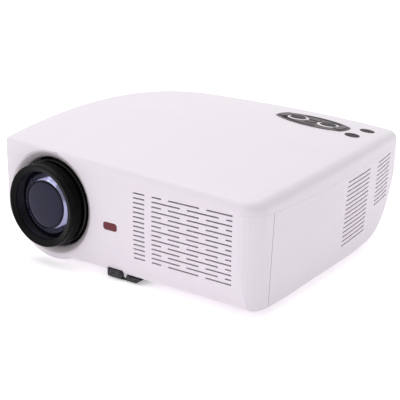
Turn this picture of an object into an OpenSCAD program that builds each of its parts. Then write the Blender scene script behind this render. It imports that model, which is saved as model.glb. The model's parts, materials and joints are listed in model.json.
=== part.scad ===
// LED projector with a slim tray-loading disc player in its left side.
// Body frame used below: X = 0 on the centre line, Y = 0 at the front face, Z = 0 at the underside.
// placed() moves it so that the origin is the bottom centre of the whole part. Millimetres.

/* [Body] */
// Widest width of the body, across the bowed sides
body_w = 326; // [316:1:340]
// Depth of the body from the front face to the rear
body_d = 355; // [350:1:370]
// Radius of the bow of the right side, seen from above
side_bow_r = 1200; // [1000:10:2000]
// Distance of the right side's widest place from the front face
side_bow_y = 120; // [100:1:180]
// Radius of the bow of the left side, seen from above
left_bow_r = 2150; // [1900:10:3000]
// Distance of the left side's widest place from the front face
left_bow_y = 40; // [30:1:80]
// Corner radius at the front right, seen from above
front_corner_r = 22; // [16:1:26]
// Corner radius at the front left, seen from above
left_corner_r = 4; // [3.5:0.5:12]
// Corner radius at the rear, seen from above
rear_corner_r = 14; // [10:1:20]
// Radius that turns the underside up into the rear
rear_curve_r = 105; // [98:1:108]
// Radius along the lower left edge
left_curve_r = 58; // [50:1:60]
// Radius along the other lower edges
low_edge_r = 4; // [3:0.5:6]
// Radius of the slight vertical bulge of the front
front_bulge_r = 900; // [700:10:2000]
// Wall thickness of the mouldings
wall = 2.6; // [2.2:0.1:3]

/* [Top] */
// Height of the rim on the left
rim_left = 117.5; // [116:0.5:120]
// Height of the rim on the right
rim_right = 104.5; // [103:0.5:108]
// Rise of the crown above the left rim
arch_left = 20.5; // [18:0.5:24]
// Rise of the crown above the right rim
arch_right = 8.5; // [7:0.5:12]
// Extra height of the top at the front left
front_lift = 2.5; // [0:0.5:4]
// How far the rear of the top falls below its rim
rear_drop = 2; // [0:0.5:3]
// Radius of the top's edge at the right
edge_r = 9; // [7:0.5:10]
// Radius of the top's edge at the left
edge_left = 3.2; // [3.2:0.1:3.5]
// Height of the lid seam at the left
seam_left = 105.5; // [104:0.5:106]
// Height of the lid seam at the right
seam_right = 93; // [92.5:0.1:93.2]
// Gap of the lid seam
seam_gap = 0.12; // [0.1:0.02:0.3]

/* [Lens] */
// Lens axis, from the widest left side
lens_x = 65; // [64.5:0.5:66]
// Lens axis above the underside
lens_z = 58.4; // [58:0.2:59]
// Outer radius of the round collar that swells below the underside
collar_r = 62; // [61:0.5:63]
// How far the collar's middle lies below the lens axis
collar_drop = 2; // [1:0.5:2.5]
// Radius of the recess round the lens
recess_r = 55.2; // [54:0.2:55.6]
// Outer radius of the lens hood
hood_r = 44.7; // [43:0.1:45.5]
// How far the hood stands out of the front face
hood_out = 16; // [10:0.5:18]
// Radius of the front glass
glass_r = 37.3; // [36:0.1:37.6]
// Outer radius of the focus ring
focus_r = 46.6; // [45:0.1:48]
// Travel of the barrel when the focus ring turns
focus_travel = 8; // [4:0.5:10]

/* [Front] */
// Distance of the bezel's side seam from the front face, at the underside
bezel_y = 23; // [22:0.5:25]
// Lean of the bezel's side seam
bezel_lean = 2.7; // [0:0.1:3]
// Width of the groove at the bezel's side seam
bezel_gap = 0.8; // [0.4:0.1:1]
// Height of one grille slot
slot_h = 1.5; // [1:0.1:2]
// Spacing of the grille rows
slot_pitch = 4.886; // [4:0.001:5]
// Number of grille rows
slot_rows = 15; // [8:1:15]
// Height of the lowest front row
front_slot_z = 22.9; // [20:0.1:26]
// Left end of the wide front grille, right of the centre line
grille_left = 37.3; // [36:0.1:40]
// Right end of the wide front grille, from the widest right side
grille_in = 31.8; // [28:0.1:36]
// Length of the short dashes left of it
small_dash_l = 14.4; // [10:0.1:16]
// Space between the short dashes and the wide grille
grille_space = 8.5; // [6:0.1:10]
// Length of a full dash in the wide grille
dash_l = 36.4; // [30:0.1:38]
// Gap between dashes
dash_gap = 8.1; // [5:0.1:10]

/* [Side grilles] */
// Front end of the first side grille at its lowest row, from the rear
side_a_y = 187; // [183:0.5:189]
// Length of the rows of the first side grille
side_a_l = 64; // [50:0.5:64]
// Front end of the second side grille at its lowest row, from the rear
side_b_y = 93; // [89:0.5:95]
// Length of the rows of the second side grille
side_b_l = 50; // [40:0.5:52]
// Rows in the second side grille
side_b_rows = 11; // [6:1:11]
// How far a side row moves back per millimetre of height
side_lean = 0.13; // [0:0.01:0.15]

/* [Keypad] */
// Keypad centre, from the widest right side
key_x = 99.5; // [97:0.5:102]
// Keypad centre, from the rear
key_y = 78; // [74:0.5:84]
// Half the length of the keypad
key_half_l = 44.8; // [43.5:0.1:46]
// Half the width of the keypad at its middle
key_half_w = 29; // [28:0.5:30]
// Distance of each white ring from the keypad's middle
ring_off = 20.2; // [19.8:0.1:20.6]
// Outer radius of the white rings
ring_r = 11.3; // [10:0.1:12]
// Travel of a key
key_travel = 0.8; // [0.4:0.1:1]
// Radius of the two round buttons
button_r = 8.6; // [8:0.1:9]
// Round buttons, from the widest right side
button_x = 40.7; // [38:0.1:42]
// Power button, from the rear
power_y = 53.5; // [50:0.5:56]
// Source button, from the rear
source_y = 94; // [92:0.5:98]

/* [Disc drive] */
// Depth of the drive, along its travel
drive_l = 128; // [126:1:130]
// Width of the drive
drive_w = 130; // [128:0.5:132]
// Height of the drive
drive_h = 14; // [13:0.5:15]
// Middle of the drive, from the rear
drive_y = 175; // [171:0.5:177]
// Underside of the drive
drive_z = 106.5; // [106:0.1:107]
// Radius of the disc well
well_r = 60.8; // [60.4:0.1:61]
// Travel of the tray
tray_travel = 132; // [128:1:134]

/* [Light path] */
// Middle of the light path behind the mirror, from the rear
light_y = 151; // [149:0.5:153]
// Width of the LCD and the Fresnel plates
plate_w = 104; // [98:1:106]
// Height of the LCD and the Fresnel plates
plate_h = 62; // [58:1:64]
// Distance of the LCD from the lens axis
lcd_x = 58; // [57:0.5:60]
// Outside size of the exhaust fan
fan_a = 80; // [76:1:80]
// Outside size of the board fan
fan_b = 50; // [46:1:50]

/* [Underside] */
// Height of the rubber feet
foot_h = 7; // [6.5:0.1:9]
// Radius of the rubber feet
foot_r = 9; // [7:0.5:10]
// Distance between the left and right feet
foot_dx = 210; // [200:1:214]
// Distance between the front and rear feet
foot_dy = 190; // [180:1:194]
// Ceiling-mount inserts, side to side
mount_dx = 150; // [140:1:152]
// Ceiling-mount inserts, front to rear
mount_dy = 100; // [90:1:102]
// Bore radius of the ceiling-mount inserts
insert_bore = 2; // [1.9:0.1:2.2]
// Length of the stand from its front edge to its pin
stand_l = 44; // [40:0.5:46]

/* [Hidden] */
$fn = 64;
eps = 0.01;
clear = 0.3;      // gap between pieces that don't turn in each other
run = 0.05;       // radial running clearance
half_w = body_w / 2;
mid_y = body_d / 2;
centre_y = (body_d - hood_out) / 2;
rear_cy = body_d - rear_corner_r;
lens_at = half_w - lens_x;          // lens axis, left of the centre line
light_mid = body_d - light_y;
drive_mid = body_d - drive_y;
key_at = [half_w - key_x, body_d - key_y];
power_at = [half_w - button_x, body_d - power_y];
source_at = [half_w - button_x, body_d - source_y];
grille_x = [grille_left, half_w - grille_in];
small_grille_x = [grille_left - grille_space - small_dash_l, grille_left - grille_space];
seam_tilt = atan((seam_left - seam_right) / body_w);
seam_mid = (seam_left + seam_right) / 2;
lens_pos = [-lens_at, 0, lens_z];

// ---- Outlines and surfaces -------------------------------------------------------------------

function arc(c, r, a, b, n) = [for (k = [0:n]) c + r * [cos(a + (b - a) * k / n), sin(a + (b - a) * k / n)]];
function flip(pts) = [for (k = [len(pts) - 1:-1:0]) [-pts[k].x, pts[k].y]];
function line(a, b, n) = [for (k = [1:n - 1]) a + (b - a) * k / n];

// Half of the plan outline, set in by i: front corner, bowed side, rear corner. The side is an arc
// of radius bow that is widest at y = wide.
function half_outline(i, corner, bow, wide) =
    let (f = inside_x(corner, corner, bow, wide), g = inside_x(rear_corner_r, rear_cy, bow, wide),
         a = atan2(corner - wide, f - half_w + bow), b = atan2(rear_cy - wide, g - half_w + bow)) concat(
    arc([f, corner], corner - i, -90, a, 6),
    [for (k = [1:9]) [half_w - bow, wide] + (bow - i) * [cos(a + (b - a) * k / 10), sin(a + (b - a) * k / 10)]],
    arc([g, rear_cy], rear_corner_r - i, b, 90, 6));
function outline(i) =
    let (h = half_outline(i, front_corner_r, side_bow_r, side_bow_y),
         m = flip(half_outline(i, left_corner_r, left_bow_r, left_bow_y)), n = len(h) - 1)
    concat(h, line(h[n], m[0], 8), m, line(m[n], h[0], 8));

// Distance from the centre line of a circle of radius r that touches the bowed side from inside.
function inside_x(r, y, bow, wide) = half_w - bow + sqrt(pow(bow - r, 2) - pow(y - wide, 2));

// Height of the top above the underside: a rim that falls to the right and the rear, an arch
// along Y, and a lift over the lens.
function top_z(x, y) =
    let (t = max(0, (x + half_w) / body_w), e = 1.2 + 1.8 * y / body_d)
    rim_left - (rim_left - rim_right) * pow(t, e) - rear_drop * pow(y / body_d, 4)
    + (arch_left - (arch_left - arch_right) * t) * (1 - pow((y - mid_y) / mid_y, 2))
    + front_lift * pow(max(0, 1 - y / 140), 2) * max(0, 1 - (x + half_w) / 200);
function slope_x(x, y) = (top_z(x + 1, y) - top_z(x - 1, y)) / 2;
function slope_y(x, y) = (top_z(x, y + 1) - top_z(x, y - 1)) / 2;

// Radius of the top's edge, which grows from the left to the right.
function edge_at(x) = edge_left + (edge_r - edge_left) * (x + half_w) / body_w;

// Rings of one face of the domed cover, from the seam to the middle: a wall, an edge and the top.
// i is the distance of the face inside the outer one.
function dome_rings(i, steps, scales) = let (o = outline(0), inward = outline(1) - o, m = len(o) - 1) concat(
    [[for (p = outline(i)) [p.x, p.y, seam_z(p.x) + seam_gap / 2]]],
    [for (k = [0:steps]) let (a = 90 * k / steps) [for (j = [0:m])
        let (r = edge_at(o[j].x) - i, p = o[j] + inward[j] * (i + r * (1 - cos(a))))
        [p.x, p.y, top_z(p.x, p.y) - i - r * (1 - sin(a))]]],
    [for (s = scales) [for (j = [0:m])
        let (p = o[j] + inward[j] * edge_at(o[j].x), q = [p.x * s, mid_y + (p.y - mid_y) * s])
        [q.x, q.y, top_z(q.x, q.y) - i]]]);

// Shell between two faces with the same number of points in every ring.
module dome_shell() {
    outer = dome_rings(0, 4, [0.95, 0.85, 0.7, 0.52, 0.34, 0.16]);
    inner = dome_rings(wall, 2, [0.9, 0.75, 0.55, 0.35, 0.16]);
    n = len(outer[0]);
    m = len(outer);
    k0 = n * m + 1;
    l = len(inner);
    pts = concat([for (ring = outer) each ring], [[0, mid_y, top_z(0, mid_y)]],
                 [for (ring = inner) each ring], [[0, mid_y, top_z(0, mid_y) - wall]]);
    polyhedron(points = pts, convexity = 6, faces = concat(
        [for (j = [0:m - 2], k = [0:n - 1]) let (a = j * n + k, b = j * n + (k + 1) % n) each
            [[a, a + n, b], [b, a + n, b + n]]],
        [for (k = [0:n - 1]) [(m - 1) * n + k, m * n, (m - 1) * n + (k + 1) % n]],
        [for (j = [0:l - 2], k = [0:n - 1]) let (a = k0 + j * n + k, b = k0 + j * n + (k + 1) % n) each
            [[a, b, a + n], [b, b + n, a + n]]],
        [for (k = [0:n - 1]) [k0 + (l - 1) * n + k, k0 + (l - 1) * n + (k + 1) % n, k0 + l * n]],
        [for (k = [0:n - 1]) let (b = (k + 1) % n) each [[k, b, k0 + k], [b, k0 + b, k0 + k]]]));
}

// Side profile: bulged front, flat underside and the large curve up into the rear.
function front_y(z) = pow(z - 66, 2) / (2 * front_bulge_r);
side_top = 125;
function side_profile(i) =
    let (r = low_edge_r - i * 0.5, y0 = front_y(0) + i, cy = body_d - rear_curve_r) concat(
    [for (z = [side_top, 100, 80, 60, 40, 20]) [front_y(z) + i, z]],
    arc([y0 + r, i + r], r, 180, 270, 5),
    arc([cy, rear_curve_r], rear_curve_r - i, -90, 0, 24),
    [[body_d - i, side_top]]);

// Front profile: the large curve along the lower left edge, a small one along the right.
function front_profile(i) = concat(
    arc([-half_w + left_curve_r, left_curve_r], left_curve_r - i, 180, 270, 16),
    arc([half_w - low_edge_r, low_edge_r], low_edge_r - i * 0.5, -90, 0, 5),
    [[half_w + 5, side_top], [-half_w + i, side_top]]);

module body_solid(i) {
    intersection() {
        translate([0, 0, -5]) linear_extrude(side_top) polygon(outline(i));
        translate([-half_w - 5, 0, 0]) rotate([90, 0, 90]) linear_extrude(body_w + 10) polygon(side_profile(i));
        translate([0, body_d + 5, 0]) rotate([90, 0, 0]) linear_extrude(body_d + 10) polygon(front_profile(i));
    }
}

// Half spaces on either side of the two seams.
module above_seam(gap) {
    translate([0, mid_y, seam_mid + gap]) rotate([0, seam_tilt, 0])
        translate([-body_w, -body_d, 0]) cube([2 * body_w, 2 * body_d, 100]);
}
module behind_bezel(gap) {
    translate([0, bezel_y + gap, 0]) rotate([-bezel_lean, 0, 0])
        translate([-body_w, 0, -50]) cube([2 * body_w, 2 * body_d, 250]);
}
function seam_z(x) = seam_mid - x * tan(seam_tilt);

module placed() translate([0, -centre_y, foot_h]) children();
module along_y(p) translate(p) rotate([-90, 0, 0]) children();
module on_lens(y) along_y(lens_pos + [0, y, 0]) children();
module on_collar(y) along_y(lens_pos + [0, y, -collar_drop]) children();
module tube_y(r1, r2, l) difference() {
    cylinder(r = r1, h = l);
    translate([0, 0, -1]) cylinder(r = r2, h = l + 2);
}
module post(p, r, h, bore) translate(p) difference() {
    cylinder(r = r, h = h);
    translate([0, 0, -1]) cylinder(r = bore, h = h + 2, $fn = 24);
}
module box_at(lo, hi) translate(lo) cube(hi - lo);

// ---- Fixed places ----------------------------------------------------------------------------

boss_at = [[-half_w + 13, drive_mid - 90], [half_w - 17, 48], [-half_w + 28, body_d - 70],
           [half_w - 14, light_mid - fan_a / 2 - 12], [lcd_x - lens_at + 148, light_mid + fan_a / 2 + 8]];
boss_r = 5;
screw_r = 1.45;
screw_seat = 12;        // from the seam down to the screw head's shoulder
foot_at = [for (sx = [-1, 1], sy = [0, 1]) [25 + sx * foot_dx / 2, 34 + sy * foot_dy]];
insert_at = [for (sx = [-1, 1], sy = [-1, 1]) [sx * mount_dx / 2, 130 + sy * mount_dy / 2]];
insert_r = 3.2;
insert_l = 8;
bulkhead_y = 38;
bulkhead_t = 3;
sleeve_r = 41.9;
barrel_r = 39.5;
barrel_front = 4 - hood_out;
liner_t = 1.5;
liner_back = 20;
panel_y = body_d - 33;
panel_x = [-100, 120];
panel_z = [37, 88];
panel_t = 2;
board_z = 44;
pcb_t = 1.6;
power_z = 12;
light_z = lens_z;
light_floor = 14;
light_top = 92;
light_wall = 5;
groove = 1.8;
light_in = plate_w / 2 + clear - groove;
board_feet = [for (x = [-82, 100], y = [panel_y - 45, panel_y - 10]) [x, y]];
power_x = half_w - 143;                       // left end of the power board
power_front = 31;
power_l = light_mid - light_in - light_wall - 8.5 - power_front;
power_feet = [for (x = [6, 102], y = [6, power_l - 6]) [power_x + x, power_front + y]];
light_feet = [for (x = [-lens_at - 2, lcd_x - lens_at + 126], y = [light_mid - 48, light_mid + 48]) [x, y]];
ir_w = 17.8;
ir_h = 8.2;
ir_lip = 1.8;
ir_at = [-lens_at + collar_r + 0.403 * (small_grille_x[0] + lens_at - collar_r), 49.5];
stand_x = [-20.4, 22.5];
grip_w = 18.6;
rib_w = 4;
stand_y = stand_l + 2;
stand_t = 5.2;
stand_z = -2.9;
notch_z = 4;

// ---- Casing ----------------------------------------------------------------------------------

// Rows of dashes in a window; every second row is moved by half a period.
module front_slots() {
    period = dash_l + dash_gap;
    for (row = [0:slot_rows - 1]) {
        z = front_slot_z + row * slot_pitch - slot_h / 2;
        start = grille_x[0] + 12 - dash_l + (row % 2) * period / 2;
        box_at([small_grille_x[0], -3, z], [small_grille_x[1], 12, z + slot_h]);
        for (k = [-1:3]) {
            a = max(grille_x[0], start + k * period);
            b = min(grille_x[1], start + k * period + dash_l);
            if (b - a > 2) box_at([a, -3, z], [b, 12, z + slot_h]);
        }
    }
}

// Rectangle with rounded corners in the front plane, of length l along Y.
module round_rect(p, w, h, r, l) translate(p) {
    box_at([-w / 2 + r, 0, -h / 2], [w / 2 - r, l, h / 2]);
    box_at([-w / 2, 0, -h / 2 + r], [w / 2, l, h / 2 - r]);
    for (sx = [-1, 1], sz = [-1, 1]) along_y([sx * (w / 2 - r), 0, sz * (h / 2 - r)])
        cylinder(r = r, h = l, $fn = 32);
}

// Ring round the lens: its outer edge is rounded and swells below the underside.
module collar() on_collar(0) rotate_extrude($fn = 128) polygon([
    [0, 1.5], [collar_r - 4.4, 1.5], [collar_r - 1.8, 2.1], [collar_r - 0.5, 3.5], [collar_r, 5.5],
    [collar_r, bezel_y - 1], [0, bezel_y - 1]]);

module front_bezel() color("#EBE5EC") {
    difference() {
        union() {
            difference() {
                body_solid(0);
                behind_bezel(0);
                body_solid(wall);
            }
            collar();
            // raised roof over the stand's notch
            intersection() {
                box_at([stand_x[0] - 3, 0, 0], [stand_x[0] + grip_w + 3, 16, notch_z + wall]);
                body_solid(0);
            }
            // white rib between the two halves of the stand
            box_at([stand_x[0] + grip_w + 0.4, 4, -3.4], [stand_x[0] + grip_w + 0.4 + rib_w, 7.4, 1]);
            // posts of the speaker, and of the window above and below it
            for (x = [-21.8, 21.8], z = [-22, 22]) along_y([speaker_x + x, wall - 1, speaker_z + z])
                cylinder(r = 2.5, h = 5.4, $fn = 24);
            for (s = [-1, 1]) along_y([ir_at.x, wall - 1, ir_at.y + s * (ir_h / 2 + ir_lip + clear + 2.2)])
                cylinder(r = 2.2, h = 6.4, $fn = 24);
        }
        above_seam(-seam_gap / 2);
        on_lens(-5) cylinder(r = recess_r + liner_t + clear, h = 60, $fn = 128);
        front_slots();
        box_at([stand_x[0] - 0.6, -5, -1], [stand_x[0] + grip_w + 0.6, 12.6, notch_z]);
        round_rect([ir_at.x, -5, ir_at.y], ir_w + 0.4, ir_h + 0.4, 3.2, 12);
    }
}

module side_slots() {
    for (row = [0:slot_rows - 1]) {
        z = 18.3 + row * slot_pitch;
        y = body_d - side_a_y + row * slot_pitch * side_lean;
        box_at([half_w - 14, y, z - slot_h / 2], [half_w + 5, y + side_a_l, z + slot_h / 2]);
    }
    for (row = [0:side_b_rows - 1]) {
        z = 37.8 + row * slot_pitch;
        y = body_d - side_b_y + row * slot_pitch * side_lean;
        // the low rows are cut short where the rear turns up
        b = min(y + side_b_l, body_d - rear_curve_r - 14 + sqrt(pow(rear_curve_r, 2) - pow(rear_curve_r - z, 2)));
        box_at([half_w - 34, y, z - slot_h / 2], [half_w + 5, b, z + slot_h / 2]);
    }
}

module case_boss(p) translate([p.x, p.y, 0]) cylinder(r = boss_r, h = seam_z(p.x) - seam_gap / 2, $fn = 32);

module lower_case() color("#DFD8E2") {
    difference() {
        intersection() {
            union() {
                difference() {
                    body_solid(0);
                    body_solid(wall);
                }
                // wall that carries the lens
                box_at([-half_w, bulkhead_y, 0], [-lens_at + 68, bulkhead_y + bulkhead_t, 103]);
                // pocket for the sockets
                box_at([panel_x[0] - wall, panel_y - wall, panel_z[0] - wall],
                       [panel_x[1] + wall, body_d, panel_z[1] + wall]);
                for (p = boss_at) case_boss(p);
                for (p = insert_at) translate([p.x, p.y, 0]) cylinder(r = 6, h = insert_l + 1.4, $fn = 32);
                // standoffs of the main board and the power board
                for (p = board_feet) translate([p.x, p.y, 0]) cylinder(r = 3.5, h = board_z, $fn = 24);
                for (p = power_feet) translate([p.x, p.y, 0]) cylinder(r = 3.5, h = power_z, $fn = 24);
                // standoffs of the light box
                for (p = light_feet) translate([p.x, p.y, 0]) cylinder(r = 4, h = light_floor, $fn = 24);
                // cradles of the two fans
                fan_cradle(fan_a_pos, fan_a, 20, 4);
                fan_cradle(fan_b_pos, fan_b, 15, 1);
            }
            body_solid(0);
        }
        above_seam(-seam_gap / 2);
        difference() {
            translate([-body_w, -body_d, -10]) cube([2 * body_w, 2 * body_d, 200]);
            behind_bezel(bezel_gap);
        }
        on_lens(0) cylinder(r = sleeve_r + clear, h = 60, $fn = 128);
        side_slots();
        box_at([panel_x[0], panel_y, panel_z[0]], [panel_x[1], body_d + 5, panel_z[1]]);
        box_at([panel_x[0] + 4, panel_y - 5, panel_z[0] + 4], [panel_x[1] - 4, panel_y + 1, panel_z[1] - 4]);
        for (p = boss_at) translate([p.x, p.y, 0]) {
            translate([0, 0, -1]) cylinder(r = 3.5, h = seam_z(p.x) - screw_seat + 1, $fn = 24);
            cylinder(r = screw_r + 0.35, h = 120, $fn = 24);
        }
        for (p = insert_at) translate([p.x, p.y, -1]) cylinder(r = insert_r + run, h = insert_l + 1);
        for (p = foot_at) translate([p.x, p.y, -1]) cylinder(r = foot_r + clear / 2, h = 2.2);
        fan_seat(fan_a_pos, fan_a, 20);
        fan_seat(fan_b_pos, fan_b, 15);
    }
    stand_ears();
}

// Block from the floor that holds the foot of a fan, and the fan's outline cut into it.
module fan_cradle(p, size, t, up) box_at([p.x - t / 2 - 3, p.y - size / 2 + 4, 0],
    [p.x + t / 2 + 3, p.y + size / 2 - 4, p.z - size / 2 + up]);
module fan_seat(p, size, t) translate(p - [t / 2 + clear, size / 2 + clear, size / 2 + clear])
    cube([t + 2 * clear, size + 2 * clear, 40]);

// Ears under the case that hold the stand's pin.
module stand_ears() {
    for (x = [stand_x[0] - 4.3, stand_x[1] + 0.3]) difference() {
        union() {
            along_x([x, stand_y, stand_z]) cylinder(r = 2.6, h = 4, $fn = 32);
            box_at([x, stand_y - 2.6, stand_z], [x + 4, stand_y + 2.6, 1]);
        }
        along_x([x - 1, stand_y, stand_z]) cylinder(r = 1.5, h = 6, $fn = 32);
    }
}
module along_x(p) translate(p) rotate([0, 90, 0]) children();

// Keypad plane, tangent to the top at the keypad's middle, and the two button planes.
module on_top(p, up) translate([p.x, p.y, top_z(p.x, p.y)])
    rotate([atan(slope_y(p.x, p.y)), -atan(slope_x(p.x, p.y)), 0]) translate([0, 0, up]) children();

// Oval of two large arcs with rounded tips, set in by i.
module oval(i, h) {
    r = (pow(key_half_l + 11, 2) + pow(key_half_w, 2)) / (2 * key_half_w);
    intersection() {
        for_both(r - key_half_w) cylinder(r = r - i, h = h, $fn = 180);
        cylinder(r = key_half_l - i, h = h, $fn = 96);
    }
}
module for_both(d) intersection() {
    translate([0, -d, 0]) children();
    translate([0, d, 0]) children();
}

plate_t = 1.5;
plate_up = 0.3;
key_board_z = -10;
key_post_y = 17;

module top_cover() color("#F2EBF2") {
    difference() {
        union() {
            dome_shell();
            for (p = boss_at) translate([p.x, p.y, seam_z(p.x) + seam_gap / 2])
                cylinder(r = 4, h = top_z(p.x, p.y) - wall / 2 - seam_z(p.x), $fn = 32);
        }
        on_lens(-5) cylinder(r = recess_r + liner_t + clear, h = liner_back + 8, $fn = 128);
        for (p = boss_at) translate([p.x, p.y, seam_z(p.x) - 1]) cylinder(r = screw_r + run, h = 10, $fn = 24);
        on_top(key_at, plate_up - plate_t) oval(-clear / 2, 6);
        on_top(key_at, -8) oval(2, 10);
        for (p = [power_at, source_at]) on_top(p, -8) cylinder(r = button_r + clear / 2, h = 12);
        tray_slot();
    }
}
// ---- Lens ------------------------------------------------------------------------------------

module lens_recess() color("#C9C6CB") on_lens(0.6) difference() {
    cylinder(r = recess_r + liner_t, h = liner_back - 0.6, $fn = 128);
    translate([0, 0, -1]) cylinder(r = recess_r, h = liner_back + 2, $fn = 128);
}

module lens_sleeve() color("#1D1C1E") on_lens(0) difference() {
    union() {
        translate([0, 0, 6]) cylinder(r = sleeve_r, h = 56, $fn = 128);
        translate([0, 0, bulkhead_y - 4]) cylinder(r = 50, h = 4, $fn = 128);
        translate([0, 0, 17]) cylinder(r = sleeve_r + 1.6, h = bulkhead_y - 17, $fn = 128);
        // dark floor of the recess
        translate([0, 0, liner_back + clear]) cylinder(r = recess_r + liner_t, h = 2, $fn = 128);
    }
    translate([0, 0, -1]) cylinder(r = barrel_r + run, h = 80, $fn = 128);
    for (a = [45:90:315]) rotate(a) translate([46.5, 0, 20]) cylinder(r = 1.7, h = 30, $fn = 24);
}

module focus_ring() color("#222124") on_lens(4) difference() {
    rotate_extrude($fn = 128) polygon([[sleeve_r + run, 0], [focus_r - 0.9, 0], [focus_r, 0.9],
        [focus_r, 12], [sleeve_r + run, 12]]);
    for (a = [0:7.5:359]) rotate(a) translate([focus_r + 0.25, 0, 2]) cylinder(r = 0.9, h = 8, $fn = 16);
}

module lens_barrel() color("#2A292C") on_lens(0) difference() {
    translate([0, 0, barrel_front]) cylinder(r = barrel_r, h = 49 + focus_travel - barrel_front, $fn = 128);
    translate([0, 0, barrel_front - 1]) cylinder(r = glass_r + 0.1, h = 4 - barrel_front, $fn = 128);
    translate([0, 0, 2]) cylinder(r = 33, h = 32, $fn = 96);
    translate([0, 0, 33]) cylinder(r = 28, h = 40, $fn = 96);
    translate([0, 0, 20]) cylinder(r = 35.1, h = 10, $fn = 96);
    translate([0, 0, 50]) cylinder(r = 31.1, h = 10, $fn = 96);
}

module lens_hood() color("#151416") on_lens(0) rotate_extrude($fn = 128) polygon([
    [glass_r + 2.9, -hood_out + 1.4], [hood_r - 1.6, -hood_out], [hood_r - 0.4, -hood_out + 0.5],
    [hood_r, -hood_out + 2], [hood_r, 0.5], [hood_r - 1.2, 2.4], [barrel_r + 0.1, 2.4],
    [barrel_r + 0.1, barrel_front - 0.2], [glass_r - 0.4, barrel_front - 0.2], [glass_r - 0.2, barrel_front - 1.4]]);

// Height of a shallow cap of radius r and rise b, from the axis to the rim.
function cap(r, b, n) = let (rs = (r * r + b * b) / (2 * b))
    [for (k = [0:n]) let (a = asin(r / rs) * k / n) [rs * sin(a), b - rs * (1 - cos(a))]];

// Lens of radius r and edge thickness t that bulges by b1 at the front and b2 at the rear.
module glass(r, t, b1, b2) rotate_extrude($fn = 128) polygon(concat(
    [for (p = cap(r, b1, 10)) [p.x, -p.y]],
    [for (k = [10:-1:0]) let (p = cap(r, b2, 10)[k]) [p.x, t + p.y]]));
module front_glass() color("#3A3560") on_lens(-4) glass(glass_r, 4, 5, 4);
module middle_glass() color("#44406A") on_lens(22) glass(35, 3, 4, 4);
module rear_glass() color("#50507A") on_lens(51) glass(31, 3, 3, 4);

// ---- Light engine ----------------------------------------------------------------------------

lcd_at = lcd_x - lens_at;
plates_x = [lcd_at - 9, lcd_at, lcd_at + 10];
plates_t = [2, 3, 2];
condenser_x = lcd_at + 44;
led_x = lcd_at + 76;
sink_x = lcd_at + 82;
fin_l = 44;
chamber_x = -lens_at - 50;      // outer face of the mirror chamber's left wall

module light_box() color("#2B2B2E") difference() {
    intersection() {
        light_box_walls();
        body_solid(wall + 2 * clear);
    }
    for (k = [0:2]) translate([plates_x[k] - clear, light_mid, light_floor + 8])
        translate([0, -plate_w / 2 - clear, 0]) cube([plates_t[k] + 2 * clear, plate_w + 2 * clear, 90]);
    along_x([condenser_x - 9, light_mid, light_z]) cylinder(r = 30, h = 40, $fn = 96);
    along_x([condenser_x, light_mid, light_z]) cylinder(r = 32 + run, h = 20, $fn = 96);
    for (p = light_feet) translate([p.x, p.y, light_floor - 5]) cylinder(r = 1.7, h = 20, $fn = 24);
}
module light_box_walls() {
    front = light_mid - light_in - light_wall;
    rear = light_mid + light_in + light_wall;
    box_at([chamber_x, front, light_floor], [sink_x + 52, rear, light_floor + 3]);
    box_at([lcd_at - 22, front, light_floor], [led_x - 2, front + light_wall, light_top]);
    box_at([lcd_at - 22, rear - light_wall, light_floor], [led_x - 2, rear, light_top]);
    // walls of the mirror chamber
    box_at([chamber_x, front, light_floor], [chamber_x + 3, rear, light_top]);
    box_at([chamber_x, rear - 3, light_floor], [lcd_at - 20, rear, light_top]);
    // sill under the plates
    box_at([lcd_at - 14, front + light_wall - 1, light_floor],
           [lcd_at + 16, rear - light_wall + 1, light_z - plate_h / 2 - clear]);
    // holder of the condenser lens
    box_at([condenser_x - 3, front + light_wall - 1, light_floor],
           [condenser_x + 7, rear - light_wall + 1, light_top - 2]);
    // seat of the heat sink
    box_at([sink_x + 2, light_mid - 38, light_floor], [sink_x + 50, light_mid + 38, light_z - 36]);
    // ledge under the mirror
    translate([-lens_at, light_mid, 0]) rotate(45)
        box_at([-48, -8, light_floor], [48, -2, light_z - 33 - clear]);
}

module light_box_cover() color("#38383C") difference() {
    box_at([chamber_x, light_mid - light_in - light_wall, light_top],
           [led_x - 2, light_mid + light_in + light_wall, light_top + 2]);
    box_at([chamber_x - 2, light_mid - light_in - light_wall - 1, light_top - 1],
           [lcd_at - 22, light_mid - light_in + 8, light_top + 3]);
}

module fold_mirror() color("#C8D4DC") translate([-lens_at, light_mid, light_z]) rotate(45)
    translate([0, -5, 0]) cube([96, 3, 66], center = true);

module optic_plate(k) translate([plates_x[k], light_mid - plate_w / 2, light_z - plate_h / 2])
    cube([plates_t[k], plate_w, plate_h]);
module lcd_panel() color("#20242C") difference() {
    optic_plate(1);
    translate([plates_x[1] - 1, light_mid - 44, light_z - 25]) cube([1.8, 88, 50]);
}
module fresnel_lenses() color("#DCE6EA") for (k = [0, 2]) optic_plate(k);

module condenser_lens() color("#E4EEF2") along_x([condenser_x + 0.1, light_mid, light_z]) difference() {
    union() {
        cylinder(r = 32, h = 6.4, $fn = 96);
        intersection() {
            cylinder(r = 29, h = 20, $fn = 96);
            translate([0, 0, -24]) sphere(r = 42, $fn = 120);
        }
    }
}

module led_module() color("#E8E4C8") {
    box_at([led_x + 3, light_mid - 18, light_z - 18], [sink_x, light_mid + 18, light_z + 18]);
    box_at([led_x + 1, light_mid - 8, light_z - 8], [led_x + 3, light_mid + 8, light_z + 8]);
}

module heat_sink() color("#B9BCC0") {
    box_at([sink_x, light_mid - 38, light_z - 36], [sink_x + 6, light_mid + 38, light_z + 34]);
    for (k = [0:12]) translate([sink_x + 6 - eps, light_mid - 38 + k * 6.18, light_z - 36])
        cube([fin_l, 1.8, 70]);
}

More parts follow.
